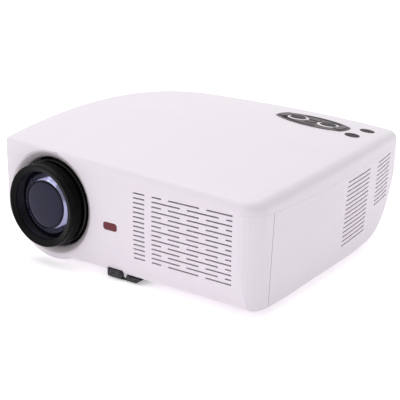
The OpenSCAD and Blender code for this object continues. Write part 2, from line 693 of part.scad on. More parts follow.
// Fan frame with its hub on the -X side, and a rotor whose shaft turns in that hub.
hub_t = 2.6;
module fan_frame(size, t) difference() {
    cube([t, size, size], center = true);
    difference() {
        along_x([-t, 0, 0]) cylinder(r = size / 2 - 2, h = 2 * t, $fn = 96);
        along_x([-t / 2 - 1, 0, 0]) cylinder(r = size / 5, h = hub_t + 1, $fn = 48);
        for (a = [20:120:300]) rotate([a, 0, 0]) translate([-t / 2, -2, 0]) cube([hub_t, 4, size / 2]);
    }
    along_x([-t, 0, 0]) cylinder(r = 1.5, h = 2 * t, $fn = 32);
    for (y = [-1, 1], z = [-1, 1]) along_x([-t, y * (size / 2 - 4), z * (size / 2 - 4)])
        cylinder(r = 1.7, h = 2 * t, $fn = 24);
}
module fan_rotor(size, t) {
    back = hub_t + 0.5 - t / 2;
    along_x([back, 0, 0]) cylinder(r = size / 5, h = t / 2 - 1.5 - back, $fn = 48);
    along_x([0.4 - t / 2, 0, 0]) cylinder(r = 1.5 - run, h = t / 2, $fn = 32);
    for (a = [0:360 / 7:359]) rotate([a, 0, 0]) translate([1, 0, size / 5 - 1]) rotate([0, 0, 38])
        translate([-0.7, -t / 2.9, 0]) cube([1.4, t / 1.45, size / 2 - 4.5 - size / 5]);
}
fan_a_pos = [half_w - 22, light_mid, light_z - 6.4];
fan_b_pos = [half_w - 29.5, body_d - 65, 61];
module exhaust_fan_frame() color("#242428") translate(fan_a_pos) fan_frame(fan_a, 20);
module exhaust_fan_rotor() color("#303036") translate(fan_a_pos) fan_rotor(fan_a, 20);
module board_fan_frame() color("#242428") translate(fan_b_pos) fan_frame(fan_b, 15);
module board_fan_rotor() color("#303036") translate(fan_b_pos) fan_rotor(fan_b, 15);

// ---- Disc drive ------------------------------------------------------------------------------

drive_x = -half_w + 14;
sheet = 0.8;
tray_half = drive_w / 2 - sheet - 1.7;
tray_z = drive_z + 2;
tray_t = 6.5;
well_x = drive_x + 62;
well_floor = tray_z + tray_t - 2.2;
front_zs = [drive_z + 1.6, drive_z + drive_h - 1.2];
front_half = tray_half + 2;

module tray_slot() box_at([-half_w - 5, drive_mid - front_half - clear, front_zs[0] - clear],
                          [drive_x + 22, drive_mid + front_half + clear, front_zs[1] + clear]);

module drive_shelf() color("#A9ACB0") difference() {
    union() {
        box_at([drive_x, drive_mid - 60, drive_z - 1.5], [drive_x + drive_l, drive_mid + 60, drive_z]);
        for (x = [12, 116], y = [light_mid - 45, light_mid + 30])
            translate([drive_x + x, y, light_top + 2]) cylinder(r = 4, h = drive_z - light_top - 3, $fn = 32);
    }
    box_at([drive_x + 22, drive_mid - 20, drive_z - 5], [drive_x + 92, drive_mid + 40, drive_z + 1]);
}

module drive_case() color("#B4B6BA") difference() {
    box_at([drive_x, drive_mid - drive_w / 2, drive_z], [drive_x + drive_l, drive_mid + drive_w / 2, drive_z + drive_h]);
    box_at([drive_x - 1, drive_mid - drive_w / 2 + sheet, drive_z + sheet],
           [drive_x + drive_l - sheet, drive_mid + drive_w / 2 - sheet, drive_z + drive_h - sheet]);
}

module disc_tray() color("#2C2B2E") difference() {
    box_at([drive_x - 0.4, drive_mid - tray_half, tray_z], [drive_x + 124, drive_mid + tray_half, tray_z + tray_t]);
    translate([well_x, drive_mid, well_floor]) cylinder(r = well_r, h = 10, $fn = 180);
    translate([well_x, drive_mid, tray_z - 1]) cylinder(r = 17, h = 20, $fn = 64);
    box_at([well_x - 14, drive_mid + 10, tray_z - 1], [well_x + 14, drive_mid + 56, tray_z + 20]);
    for (x = [-10, 10]) translate([well_x + x, drive_mid + 20, tray_z + 2.2]) rotate([-90, 0, 0])
        cylinder(r = 1 + run, h = 39, $fn = 24);
    // finger notches at the edge of the well
    for (y = [-1, 1]) translate([drive_x + 4, drive_mid + y * 50, well_floor]) cylinder(r = 9, h = 10, $fn = 48);
}

// Tray front, flush with the bowed side of the case.
module tray_front() color("#E4DEE6") difference() {
    intersection() {
        translate([0, 0, front_zs[0]]) linear_extrude(front_zs[1] - front_zs[0]) polygon(outline(0));
        box_at([-half_w - 5, drive_mid - front_half, 0], [drive_x - 0.4, drive_mid + front_half, 200]);
    }
    eject_shape(0.15, 20);
    along_x([-half_w - 5, drive_mid + 30, drive_z + 7]) cylinder(r = 0.8, h = 15.5, $fn = 16);
}
eject_y = drive_mid + 46;
module eject_shape(grow, l) translate([-half_w - 5, eject_y, drive_z + 7]) {
    box_at([0, -4 - grow, -1.6 - grow], [l, 4 + grow, 1.6 + grow]);
}
module eject_button() color("#D2CCD6") intersection() {
    union() {
        eject_shape(0, 17.6);
    }
    translate([0, 0, 90]) linear_extrude(60) polygon(outline(-0.4));
}

module tray_rails() color("#C2C5C9") for (s = [-1, 1])
    translate([drive_x + 2, drive_mid + s * (tray_half + 0.85) - 0.55, drive_z + 3.5]) cube([tray_travel - 14, 1.1, 3.2]);

module spindle_motor() color("#8E9094") translate([well_x, drive_mid, tray_z]) difference() {
    union() {
        cylinder(r = 14, h = 2.6, $fn = 64);
        cylinder(r = 16.7, h = 1.2, $fn = 64);
    }
    translate([0, 0, -1]) cylinder(r = 1.5, h = 10, $fn = 32);
}

module spindle_hub() color("#4A4A4E") translate([well_x, drive_mid, tray_z]) {
    cylinder(r = 1.5 - run, h = 3, $fn = 32);
    translate([0, 0, 2.9]) cylinder(r = 13, h = 3.4, $fn = 64);
    translate([0, 0, 6]) cylinder(r = 7.3, h = 1.6, $fn = 64);
    translate([0, 0, 7.5]) cylinder(r1 = 7.3, r2 = 5.4, h = 1.2, $fn = 64);
}

module laser_sled() color("#6A6C70") translate([well_x, drive_mid + 26, tray_z]) difference() {
    union() {
        box_at([-12.6, -7, 0.6], [12.6, 7, 3.8]);
        cylinder(r = 4, h = 4.8, $fn = 32);
        cylinder(r = 2, h = 5.6, $fn = 32);
    }
    for (x = [-10, 10]) translate([x, -10, 2.2]) rotate([-90, 0, 0]) cylinder(r = 1 + run, h = 20, $fn = 24);
}
module guide_rods() color("#D8DADD") for (x = [-10, 10])
    translate([well_x + x, drive_mid + 17, tray_z + 2.2]) rotate([-90, 0, 0]) cylinder(r = 1, h = 41.8, $fn = 24);

// ---- Boards and sockets ----------------------------------------------------------------------

module main_board() color("#1F5A3C") difference() {
    union() {
        box_at([-90, panel_y - 52, board_z], [108, panel_y - 3, board_z + pcb_t]);
        box_at([-30, panel_y - 42, sock_z - eps], [2, panel_y - 22, sock_z + 2]);
        for (k = [0:3]) box_at([20 + k * 14, panel_y - 44, sock_z - eps], [30 + k * 14, panel_y - 30, sock_z + 1.2]);
        translate([84, panel_y - 34, sock_z - eps]) cylinder(r = 5, h = 11, $fn = 32);
    }
    for (p = board_feet) translate([p.x, p.y, board_z - 1]) cylinder(r = 1.7, h = 5, $fn = 24);
}

sock_z = board_z + pcb_t;
sock_back = panel_y - 14;
sock_front = panel_y + panel_t + 0.5;
hdmi_x = [-38, -16];
usb_x = [6, 26];
jack_x = [44, 56, 68];
vga_x = -68;

// Metal shell of a socket with a tongue, open to the rear.
module shell_socket(x, w, h, tongue) difference() {
    box_at([x - w / 2, sock_back, sock_z], [x + w / 2, sock_front, sock_z + h]);
    difference() {
        box_at([x - w / 2 + 0.5, sock_back + 3, sock_z + 0.5], [x + w / 2 - 0.5, sock_front + 1, sock_z + h - 0.5]);
        box_at([x - w / 2 + 1.6, sock_back, sock_z + h / 2 - tongue / 2],
               [x + w / 2 - 1.6, sock_front - 2, sock_z + h / 2 + tongue / 2]);
    }
}
module hdmi_sockets() color("#B8BABD") for (x = hdmi_x) shell_socket(x, 15, 5.6, 1.4);
module usb_sockets() color("#B8BABD") for (x = usb_x) shell_socket(x, 13.2, 6.6, 1.8);
module vga_socket() color("#2D4F9A") difference() {
    union() {
        box_at([vga_x - 15.5, sock_back, sock_z], [vga_x + 15.5, panel_y - 0.4, sock_z + 12.5]);
        box_at([vga_x - 8.3, panel_y - 2, sock_z + 2.3], [vga_x + 8.3, sock_front + 3, sock_z + 10.2]);
    }
    for (row = [0:2], k = [0:4]) translate([vga_x - 4.6 + k * 2.3 - (row % 2) * 0.6, panel_y - 4, sock_z + 4.2 + row * 2])
        rotate([-90, 0, 0]) cylinder(r = 0.45, h = 20, $fn = 16);
    for (x = [-12.5, 12.5]) translate([vga_x + x, panel_y - 8, sock_z + 6.2]) rotate([-90, 0, 0])
        cylinder(r = 1.4, h = 20, $fn = 24);
}
module av_jacks() color("#2A2A2C") for (x = jack_x) difference() {
    union() {
        box_at([x - 4.6, sock_back, sock_z], [x + 4.6, panel_y - 0.4, sock_z + 9]);
        translate([x, panel_y - 2, sock_z + 4.6]) rotate([-90, 0, 0]) cylinder(r = 3.4, h = 5, $fn = 48);
    }
    translate([x, sock_back + 2, sock_z + 4.6]) rotate([-90, 0, 0]) cylinder(r = 1.8, h = 30, $fn = 32);
}

inlet = [102, 62];
rocker = [81, 70];
module rear_panel() color("#3A393D") {
    panel_sheet();
    // ears and stub pins of the rocker switch
    for (s = [-1, 1]) translate([rocker.x, panel_y, rocker.y]) {
        translate([s * 5.7 - 0.8, -6.5, -3]) cube([1.6, 6.6, 6]);
        along_x([s * 4.2 - 1.6, -4, 0]) cylinder(r = 1 - run, h = 3.2, $fn = 24);
    }
}
module panel_sheet() difference() {
    box_at([panel_x[0] + clear, panel_y, panel_z[0] + clear],
           [panel_x[1] - clear, panel_y + panel_t, panel_z[1] - clear]);
    for (x = hdmi_x) box_at([x - 7.8, panel_y - 1, sock_z - 0.3], [x + 7.8, panel_y + 5, sock_z + 5.9]);
    for (x = usb_x) box_at([x - 6.9, panel_y - 1, sock_z - 0.3], [x + 6.9, panel_y + 5, sock_z + 6.9]);
    box_at([vga_x - 8.6, panel_y - 1, sock_z + 2], [vga_x + 8.6, panel_y + 5, sock_z + 10.5]);
    for (x = [-12.5, 12.5]) translate([vga_x + x, panel_y - 1, sock_z + 6.2]) rotate([-90, 0, 0])
        cylinder(r = 2, h = 5, $fn = 24);
    for (x = jack_x) translate([x, panel_y - 1, sock_z + 4.6]) rotate([-90, 0, 0]) cylinder(r = 3.7, h = 5, $fn = 48);
    box_at([inlet.x - 13.7, panel_y - 1, inlet.y - 10], [inlet.x + 13.7, panel_y + 5, inlet.y + 10]);
    box_at([rocker.x - 4.9, panel_y - 1, rocker.y - 9.8], [rocker.x + 4.9, panel_y + 5, rocker.y + 9.8]);
}

module mains_inlet() color("#1B1B1D") {
    difference() {
        union() {
            box_at([inlet.x - 13.4, panel_y - 14, inlet.y - 9.7], [inlet.x + 13.4, panel_y + panel_t + 0.1, inlet.y + 9.7]);
            box_at([inlet.x - 15.4, panel_y + panel_t + 0.1, inlet.y - 12], [inlet.x + 15.4, panel_y + panel_t + 1.8, inlet.y + 12]);
        }
        box_at([inlet.x - 12, panel_y - 12, inlet.y - 8.2], [inlet.x + 12, panel_y + 10, inlet.y + 8.2]);
    }
    for (p = [[-7, -1.5], [7, -1.5], [0, 2.5]]) box_at([inlet.x + p.x - 1, panel_y - 13, inlet.y + p.y - 2],
        [inlet.x + p.x + 1, panel_y - 1, inlet.y + p.y + 2]);
}

module rocker_switch() color("#1B1B1D") difference() {
    intersection() {
        box_at([rocker.x - 4.6, panel_y - 8, rocker.y - 9], [rocker.x + 4.6, panel_y + 6, rocker.y + 9]);
        along_x([rocker.x - 10, panel_y - 12, rocker.y]) cylinder(r = 17.6, h = 20, $fn = 96);
    }
    along_x([rocker.x - 10, panel_y + 21.4, rocker.y]) cylinder(r = 18.5, h = 20, $fn = 96);
    along_x([rocker.x - 10, panel_y - 4, rocker.y]) cylinder(r = 1, h = 20, $fn = 24);
}

module power_board() color("#B08A4A") difference() {
    box_at([power_x, power_front, power_z], [power_x + 108, power_front + power_l, power_z + pcb_t]);
    for (p = power_feet) translate([p.x, p.y, power_z - 1]) cylinder(r = 1.7, h = 5, $fn = 24);
}
// Place on the power board: x from its left end, and t from its front (0) to its rear (1).
module on_power_board(x, t) translate([power_x + x, power_front + power_l * t, power_z + pcb_t]) children();
module power_transformer() color("#D8C24A") on_power_board(37, 0.41) {
    box_at([-17, -16, 0], [17, 16, 4]);
    box_at([-14, -16, 4 - eps], [14, 16, 28.4]);
}
module power_capacitors() color("#23252A") {
    for (t = [0.27, 0.54]) on_power_board(76, t) cylinder(r = 9, h = 32, $fn = 48);
    on_power_board(40, 0.74) cylinder(r = 6, h = 22, $fn = 48);
    on_power_board(64, 0.78) cylinder(r = 6, h = 22, $fn = 48);
}

speaker_x = (small_grille_x[0] + small_grille_x[1]) / 2;
speaker_z = 56;
module speaker() color("#2A2A2D") along_y([speaker_x, wall + 4.4 + 0.1, speaker_z]) {
    difference() {
        union() {
            translate([-25, -25, 0]) cube([50, 50, 1.6]);
            cylinder(r = 22, h = 8, $fn = 64);
            cylinder(r = 12, h = 15, $fn = 48);
        }
        translate([0, 0, -1]) cylinder(r1 = 20, r2 = 7, h = 8, $fn = 64);
        for (x = [-21.8, 21.8], y = [-22, 22]) translate([x, y, -1]) cylinder(r = 1.2, h = 4, $fn = 16);
    }
    translate([0, 0, 5.4]) sphere(r = 5, $fn = 48);
}

module ir_window() color("#8A323B") {
    round_rect([ir_at.x, 0.2, ir_at.y], ir_w, ir_h, 3, 3.8);
    box_at([ir_at.x - ir_w / 2 - ir_lip, wall + 0.6, ir_at.y - ir_h / 2 - ir_lip],
           [ir_at.x + ir_w / 2 + ir_lip, wall + 2, ir_at.y + ir_h / 2 + ir_lip]);
}

// ---- Keypad ----------------------------------------------------------------------------------

key_gap = 0.35;
key_up = key_travel + 0.1;
key_foot = 1.2;
// The key shapes, drawn in the keypad plane from z = 0 (plate top) and grown by g.
module disc_shape(s, g, h) translate([s * ring_off, 0, 0]) cylinder(r = ring_r - 2.2 + g, h = h, $fn = 64);
module centre_shape(s, g, h) translate([-6 - g, s * 7.5 - 4 - g, 0]) cube([12 + 2 * g, 8 + 2 * g, h]);
module end_shape(s, g, h) intersection() {
    oval(3.4 - g, h);
    difference() {
        translate([s * (key_half_l - 4), 0, 0]) cylinder(r = 13 + g, h = h, $fn = 64);
        translate([s * ring_off, 0, -1]) cylinder(r = ring_r + 1.4 - g, h = h + 2, $fn = 64);
    }
}

module keypad_plate() color("#7D777A") on_top(key_at, plate_up) difference() {
    union() {
        translate([0, 0, -plate_t]) oval(0, plate_t);
        for (y = [-1, 1]) translate([0, y * key_post_y, key_board_z]) cylinder(r = 2.4, h = -key_board_z - 0.5, $fn = 24);
    }
    for (s = [-1, 1]) translate([0, 0, -5]) {
        disc_shape(s, key_gap, 10);
        centre_shape(s, key_gap, 10);
        end_shape(s, key_gap, 10);
    }
    for (s = [-1, 1]) translate([s * ring_off, 0, -0.5]) tube_y(ring_r + 0.05, ring_r - 1.45, 2);
    for (y = [-1, 1]) translate([0, y * key_post_y, key_board_z - 1]) cylinder(r = 0.9, h = 7, $fn = 16);
}
module keypad_rings() color("#F0ECF0") on_top(key_at, plate_up) for (s = [-1, 1])
    translate([s * ring_off, 0, -0.5]) tube_y(ring_r, ring_r - 1.4, 0.9);

// A key: cap through the plate, and a wider foot under it.
module left_disc_key() color("#5D585C") on_top(key_at, plate_up) key_body() disc_shape(-1, $g, $h);
module right_disc_key() color("#5D585C") on_top(key_at, plate_up) key_body() disc_shape(1, $g, $h);
module lower_centre_key() color("#8B868A") on_top(key_at, plate_up) key_body() centre_shape(-1, $g, $h);
module upper_centre_key() color("#8B868A") on_top(key_at, plate_up) key_body() centre_shape(1, $g, $h);
module left_end_key() color("#8B868A") on_top(key_at, plate_up) key_body() end_shape(-1, $g, $h);
module right_end_key() color("#8B868A") on_top(key_at, plate_up) key_body() end_shape(1, $g, $h);
module key_body() {
    translate([0, 0, -plate_t - 3]) {
        let ($g = 0, $h = plate_t + 3 + key_up) children();
    }
    translate([0, 0, -plate_t - clear - key_foot]) {
        let ($g = 1, $h = key_foot) children();
    }
}

module round_button(p) {
    on_top(p, 0) difference() {
        union() {
            translate([0, 0, -6]) cylinder(r = button_r, h = 6.4);
            translate([0, 0, -wall - 1.4 - 0.6]) cylinder(r = button_r + 1, h = 1.2);
        }
        translate([0, 0, 28.2]) sphere(r = 28, $fn = 180);
    }
}
module power_button() color("#4A4145") round_button(power_at);
module source_button() color("#4A4145") round_button(source_at);

module keypad_board() color("#1F5A3C") on_top(key_at, plate_up) difference() {
    translate([-38, -20, key_board_z - pcb_t]) cube([76, 40, pcb_t]);
    for (y = [-1, 1]) translate([0, y * key_post_y, key_board_z - 5]) cylinder(r = 1.1, h = 9, $fn = 24);
}

// ---- Underside -------------------------------------------------------------------------------

plate_x = stand_x[0] + grip_w + rib_w + 0.8;
module tilt_stand() color("#2A282B") difference() {
    union() {
        // plate, with its front edge notched for the white rib
        box_at([stand_x[0], 8, stand_z - 2.6], [stand_x[1], stand_y, stand_z + 2.4]);
        box_at([plate_x, 2.4, stand_z - 2.6], [stand_x[1], 8.1, stand_z + 2.4]);
        box_at([stand_x[0], 2.4, stand_z - 2.6], [plate_x + 0.1, 8.1, stand_z - 1.4]);
        // grip that rises into the bezel's notch
        hull() {
            box_at([stand_x[0], 1.6, stand_z - 2.6], [stand_x[0] + grip_w, 10, 1]);
            box_at([stand_x[0], 0.6, stand_z], [stand_x[0] + grip_w - 2, 10, notch_z - 0.6]);
        }
        along_x([stand_x[0], stand_y, stand_z]) cylinder(r = 2.6, h = stand_x[1] - stand_x[0], $fn = 32);
    }
    along_x([stand_x[0] - 1, stand_y, stand_z]) cylinder(r = 1.45 + run, h = 60, $fn = 32);
    // slanted right end
    translate([stand_x[1] - 6.4, 0, stand_z - 2.6]) rotate([0, 52, 0]) translate([0, -1, -8])
        cube([12, stand_y - 4, 20]);
}
module stand_pin() color("#9A9CA0") along_x([stand_x[0] - 4.2, stand_y, stand_z])
    cylinder(r = 1.45, h = stand_x[1] - stand_x[0] + 8.4, $fn = 32);

module base_fittings() {
    color("#2C2B2D") for (p = foot_at) translate([p.x, p.y, -foot_h]) cylinder(r = foot_r, h = foot_h + 1.2);
    color("#C9A24A") for (p = insert_at) post([p.x, p.y, 0], insert_r, insert_l, insert_bore);
    color("#8C8E92") for (p = boss_at) translate([p.x, p.y, seam_z(p.x) - screw_seat]) {
        translate([0, 0, -2]) cylinder(r = 2.9, h = 2, $fn = 24);
        cylinder(r = screw_r, h = screw_seat + 7, $fn = 24);
    }
}

placed() front_bezel();
placed() lower_case();
placed() top_cover();
placed() lens_recess();
placed() lens_sleeve();
placed() focus_ring();
placed() lens_barrel();
placed() lens_hood();
placed() front_glass();
placed() middle_glass();
placed() rear_glass();
placed() light_box();
placed() light_box_cover();
placed() fold_mirror();
placed() lcd_panel();
placed() fresnel_lenses();
placed() condenser_lens();
placed() led_module();
placed() heat_sink();
placed() exhaust_fan_frame();
placed() exhaust_fan_rotor();
placed() board_fan_frame();
placed() board_fan_rotor();
placed() drive_shelf();
placed() drive_case();
placed() disc_tray();
placed() tray_front();
placed() tray_rails();
placed() eject_button();
placed() spindle_motor();
placed() spindle_hub();
placed() laser_sled();
placed() guide_rods();
placed() main_board();
placed() hdmi_sockets();
placed() vga_socket();
placed() usb_sockets();
placed() av_jacks();
placed() rear_panel();
placed() mains_inlet();
placed() rocker_switch();
placed() power_board();
placed() power_transformer();
placed() power_capacitors();
placed() speaker();
placed() ir_window();
placed() keypad_plate();
placed() keypad_rings();
placed() left_disc_key();
placed() right_disc_key();
placed() upper_centre_key();
placed() lower_centre_key();
placed() left_end_key();
placed() right_end_key();
placed() power_button();
placed() source_button();
placed() keypad_board();
placed() tilt_stand();
placed() stand_pin();
placed() base_fittings();
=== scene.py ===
# %% [markdown]
# # A home projector with a disc player inside
#
# The projector is a domed white box. A round collar carries the lens at the left of
# its front, slot grilles let air through the front and the right side, and a keypad
# lies in the top. The CAD model brings every piece at its real size, so this script
# has two jobs: to give the pieces the surfaces that the real ones have, and to light
# them the way a product photograph is lit.
#
# The first cell loads the CAD pieces. Blender works in metres, so MM turns a size in
# millimetres into one that Blender takes.

# %% Load the CAD pieces
import json
import math

import bpy
from mathutils import Matrix, Vector

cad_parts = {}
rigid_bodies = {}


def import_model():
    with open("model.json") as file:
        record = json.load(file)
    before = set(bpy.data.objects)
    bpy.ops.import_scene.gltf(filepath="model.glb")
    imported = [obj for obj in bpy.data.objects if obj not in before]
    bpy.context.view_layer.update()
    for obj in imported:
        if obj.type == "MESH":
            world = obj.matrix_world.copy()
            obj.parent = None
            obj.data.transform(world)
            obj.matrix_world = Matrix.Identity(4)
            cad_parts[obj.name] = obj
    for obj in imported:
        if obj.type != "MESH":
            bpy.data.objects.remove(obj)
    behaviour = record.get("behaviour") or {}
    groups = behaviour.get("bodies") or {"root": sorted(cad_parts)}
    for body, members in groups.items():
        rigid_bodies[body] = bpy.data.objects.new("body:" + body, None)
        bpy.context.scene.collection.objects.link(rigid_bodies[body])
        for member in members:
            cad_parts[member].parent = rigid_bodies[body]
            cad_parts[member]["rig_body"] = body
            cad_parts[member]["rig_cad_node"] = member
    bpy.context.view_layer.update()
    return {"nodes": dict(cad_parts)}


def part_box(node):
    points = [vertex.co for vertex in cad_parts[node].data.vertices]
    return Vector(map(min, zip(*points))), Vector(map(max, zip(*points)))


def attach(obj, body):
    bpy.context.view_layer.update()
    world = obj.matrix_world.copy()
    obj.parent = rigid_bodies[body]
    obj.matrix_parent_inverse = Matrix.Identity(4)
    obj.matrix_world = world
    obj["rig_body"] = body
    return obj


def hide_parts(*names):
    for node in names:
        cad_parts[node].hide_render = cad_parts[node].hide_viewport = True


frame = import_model()
nodes = frame["nodes"]
MM = 0.001

# %% [markdown]
# ## Helpers for colours and nodes
#
# Colours are easiest to pick as sRGB hex values, the way a paint program shows them,
# but a shader works with linear light, so one function converts them. Another adds
# one node to a material with its settings and its links, so that a material reads as
# a list of what feeds what. The third turns the real width of a grain or a streak
# into the scale that a texture node wants.

# %% Colour and node helpers
def linear(hex_code, alpha=1.0):
    """An sRGB hex colour as the linear RGBA that shaders use."""
    parts = [int(hex_code[i:i + 2], 16) / 255 for i in (1, 3, 5)]
    light = (c / 12.92 if c <= 0.04045 else ((c + 0.055) / 1.055) ** 2.4 for c in parts)
    return tuple(light) + (alpha,)


def add_node(tree, kind, settings=(), links=()):
    """A new node; settings are properties or input values, links are input: (node, output)."""
    node = tree.nodes.new(kind)
    for key, value in dict(settings).items():
        if isinstance(key, str) and hasattr(node, key):
            setattr(node, key, value)
        else:
            node.inputs[key].default_value = value
    for key, (source, output) in dict(links).items():
        tree.links.new(source.outputs[output], node.inputs[key])
    return node


def per_mm(size):
    """The texture scale whose features are this many millimetres wide."""
    return 1.0 / (size * MM)


print("linear #808080 =", round(linear("#808080")[0], 3), "scale of a 1 mm grain:", per_mm(1))

# %% [markdown]
# ## The camera
#
# A product photograph is taken from a little above and from the object's front right
# corner, with a long lens so that the box does not splay out. The camera here is
# placed by the direction it looks in: a point on the projector, an angle round it, an
# angle above the floor, and a small roll, because the original was not quite level.
# Its three axes are worked out first and become the columns of its matrix.

# %% Work out the camera's axes
AIM = Vector((0.0492, -0.1035, 0.0809))
AZIMUTH, ELEVATION, ROLL = map(math.radians, (34.74, 18.02, 0.91))

look = Vector((
    -math.sin(AZIMUTH) * math.cos(ELEVATION),
    math.cos(AZIMUTH) * math.cos(ELEVATION),
    -math.sin(ELEVATION),
))
level_right = look.cross(Vector((0, 0, 1))).normalized()
level_up = level_right.cross(look)
right = level_right * math.cos(ROLL) + level_up * math.sin(ROLL)
up = level_up * math.cos(ROLL) - level_right * math.sin(ROLL)
print("looking along", [round(c, 3) for c in look])

# %% [markdown]
# The lens is about 81 mm on a 36 mm wide sensor, a short telephoto, and it stands a
# little under a metre away. A camera looks along its own minus Z, so its third column
# is the opposite of the direction it looks in.

# %% Place the camera
DISTANCE = 0.9228
FOCAL_LENGTH, SENSOR_WIDTH = 81.19, 36

bpy.ops.object.camera_add()
camera = bpy.context.object
camera.name = "photo_camera"
camera.data.lens = FOCAL_LENGTH
camera.data.sensor_width = SENSOR_WIDTH
turn = Matrix((right, up, -look)).transposed().to_4x4()
camera.matrix_world = Matrix.Translation(AIM - look * DISTANCE) @ turn
bpy.context.scene.camera = camera
print("camera at", [round(c, 3) for c in camera.location])

# %% [markdown]
# ## Floor and lamps
#
# White plastic on a white ground is lit with large soft sources, or the edges drown.
# A wide lamp overhead makes the top the brightest face. Two small ones stand at the
# left, one in front and one beside, and lift that end of the front. The floor is one
# flat sheet and belongs to the studio.

# %% Make the floor and the lamps
def lamp(name, place, aim, width, height, watts):
    """A rectangular soft box at a place, turned towards a point."""
    bpy.ops.object.light_add(type="AREA", location=place)
    light = bpy.context.object
    light.name = name
    light.data.shape = "RECTANGLE"
    light.data.size, light.data.size_y = width, height
    light.data.energy = watts
    light.rotation_euler = (Vector(aim) - Vector(place)).to_track_quat("-Z", "Y").to_euler()
    return light


bpy.ops.mesh.primitive_plane_add(size=30, location=(0, 0, 0))
floor = bpy.context.object
floor.name = "studio_floor"

lamps = [
    lamp("top_softbox", (-0.4, 0.1, 1.9), (0, 0, 0.1), 1.8, 1.8, 18.5),
    lamp("front_softbox", (-0.85, -1.7, 0.8), (-0.08, -0.1, 0.08), 0.9, 0.6, 2.9),
    lamp("left_softbox", (-1.1, -1.0, 0.6), (-0.12, -0.16, 0.07), 0.7, 0.7, 1.0),
]
print("lamps:", [light.name for light in lamps])

# %% [markdown]
# ## The white studio
#
# The world round the floor gives an even base of light. It is darker towards the
# front right, so that the corner there and the right side fall below the front. The
# dot product of the direction and a fixed arrow says how far a direction points that
# way, from -1 to 1, and Map Range turns this into a strength.

# %% Make the world
TO_THE_DARK_SIDE = (0.8, -0.6, 0.0)
BRIGHTEST, DARKEST = 0.97, 0.50

world = bpy.data.worlds.new("white_studio")
bpy.context.scene.world = world
world.use_nodes = True
sky = world.node_tree
direction = add_node(sky, "ShaderNodeTexCoord")
towards = add_node(
    sky, "ShaderNodeVectorMath",
    {"operation": "DOT_PRODUCT", 1: TO_THE_DARK_SIDE},
    {0: (direction, "Generated")},
)
falloff = add_node(
    sky, "ShaderNodeMapRange",
    {"From Min": -1.0, "To Min": BRIGHTEST, "To Max": DARKEST},
    {"Value": (towards, "Value")},
)
backdrop = sky.nodes["Background"]
backdrop.inputs["Color"].default_value = (1.0, 0.99, 1.0, 1)
sky.links.new(falloff.outputs["Result"], backdrop.inputs["Strength"])
bpy.context.scene.view_settings.view_transform = "Standard"
print("world strength from", DARKEST, "to", BRIGHTEST)

# %% [markdown]
# ## Moulded plastic
#
# Nearly all that shows is injection-moulded ABS. The mould is spark-eroded, which
# leaves a grain of a few tenths of a millimetre that breaks up reflections, and the
# colour is never perfectly even: it drifts a percent or two over some centimetres.
# So the recipe has a bump from fine noise and a slow, faint change of tint. The real
# grain is finer than a pixel, so 0.4 to 0.8 mm is as coarse as it needs to be to
# soften the shine without showing as spots.

# %% Recipe for moulded plastic
def moulded_plastic(
        name, colour, tint, roughness, grain_mm, grain_depth, specular=0.5, drift_mm=45):
    """Moulded plastic: a base colour that drifts towards a tint, and a moulded grain."""
    material = bpy.data.materials.new(name)
    material.use_nodes = True
    tree = material.node_tree
    shader = tree.nodes["Principled BSDF"]
    shader.inputs["Roughness"].default_value = roughness
    shader.inputs["Specular IOR Level"].default_value = specular
    place = add_node(tree, "ShaderNodeTexCoord")
    drift = add_node(
        tree, "ShaderNodeTexNoise",
        {"Scale": per_mm(drift_mm), "Detail": 2.0},
        {"Vector": (place, "Object")},
    )
    blend = add_node(
        tree, "ShaderNodeMix",
        {"data_type": "RGBA", 6: linear(colour), 7: linear(tint)},
        {0: (drift, "Fac")},
    )
    tree.links.new(blend.outputs[2], shader.inputs["Base Color"])
    grain = add_node(
        tree, "ShaderNodeTexNoise",
        {"Scale": per_mm(grain_mm), "Detail": 3.0},
        {"Vector": (place, "Object")},
    )
    bump = add_node(
        tree, "ShaderNodeBump",
        {"Strength": 0.6, "Distance": grain_depth * MM},
        {"Height": (grain, "Fac")},
    )
    tree.links.new(bump.outputs["Normal"], shader.inputs["Normal"])
    return material


print("the slow drift of a tint is 45 mm wide, a scale of", round(per_mm(45), 1))

# %% [markdown]
# The case and the liner round the lens are pale ABS with a satin grain. Their shine
# is low, or the wide white surroundings would wash out the difference between faces.

# %% Pale plastics of the case
# Satin white with a trace of violet: soft, wide highlights and no sharp reflection.
white_abs = moulded_plastic(
    "white_abs_eroded_satin", "#E0DAE1", "#DDD6DE", 0.42, 0.5, 0.012, specular=0.35)
# A step darker than the case, so that the recess reads as a ring of its own.
liner_abs = moulded_plastic(
    "light_grey_abs_satin", "#D2CBD0", "#CBC4CA", 0.45, 0.5, 0.012)
print("pale plastics:", white_abs.name, liner_abs.name)

# %% [markdown]
# Black plastic looks black only while little of the white room is mirrored in it. So
# the hood, the keys and the buttons have a lower specular level than the default.

# %% Dark plastics of the lens, the keys and the sockets
# Deep satin black: shows its shape by a faint, wide sheen.
black_abs = moulded_plastic(
    "black_abs_satin", "#0C0B0D", "#111012", 0.38, 0.4, 0.01, specular=0.3)
# The blackest piece: almost no sheen, so that the hood stands out as a dark ring.
hood_abs = moulded_plastic(
    "black_polycarbonate_semi_gloss", "#050506", "#09080A", 0.34, 0.6, 0.006, specular=0.08)
# Glossier than the hood: its ribs and bevel catch thin bright lines.
ring_abs = moulded_plastic(
    "black_abs_semi_gloss", "#070708", "#0B0B0C", 0.22, 0.6, 0.004, specular=0.32)
# Dull dark grey: the disc keys lie a step above black inside their white rings.
disc_key_abs = moulded_plastic(
    "dark_grey_key_satin", "#39333A", "#322D32", 0.40, 0.4, 0.008, specular=0.05)
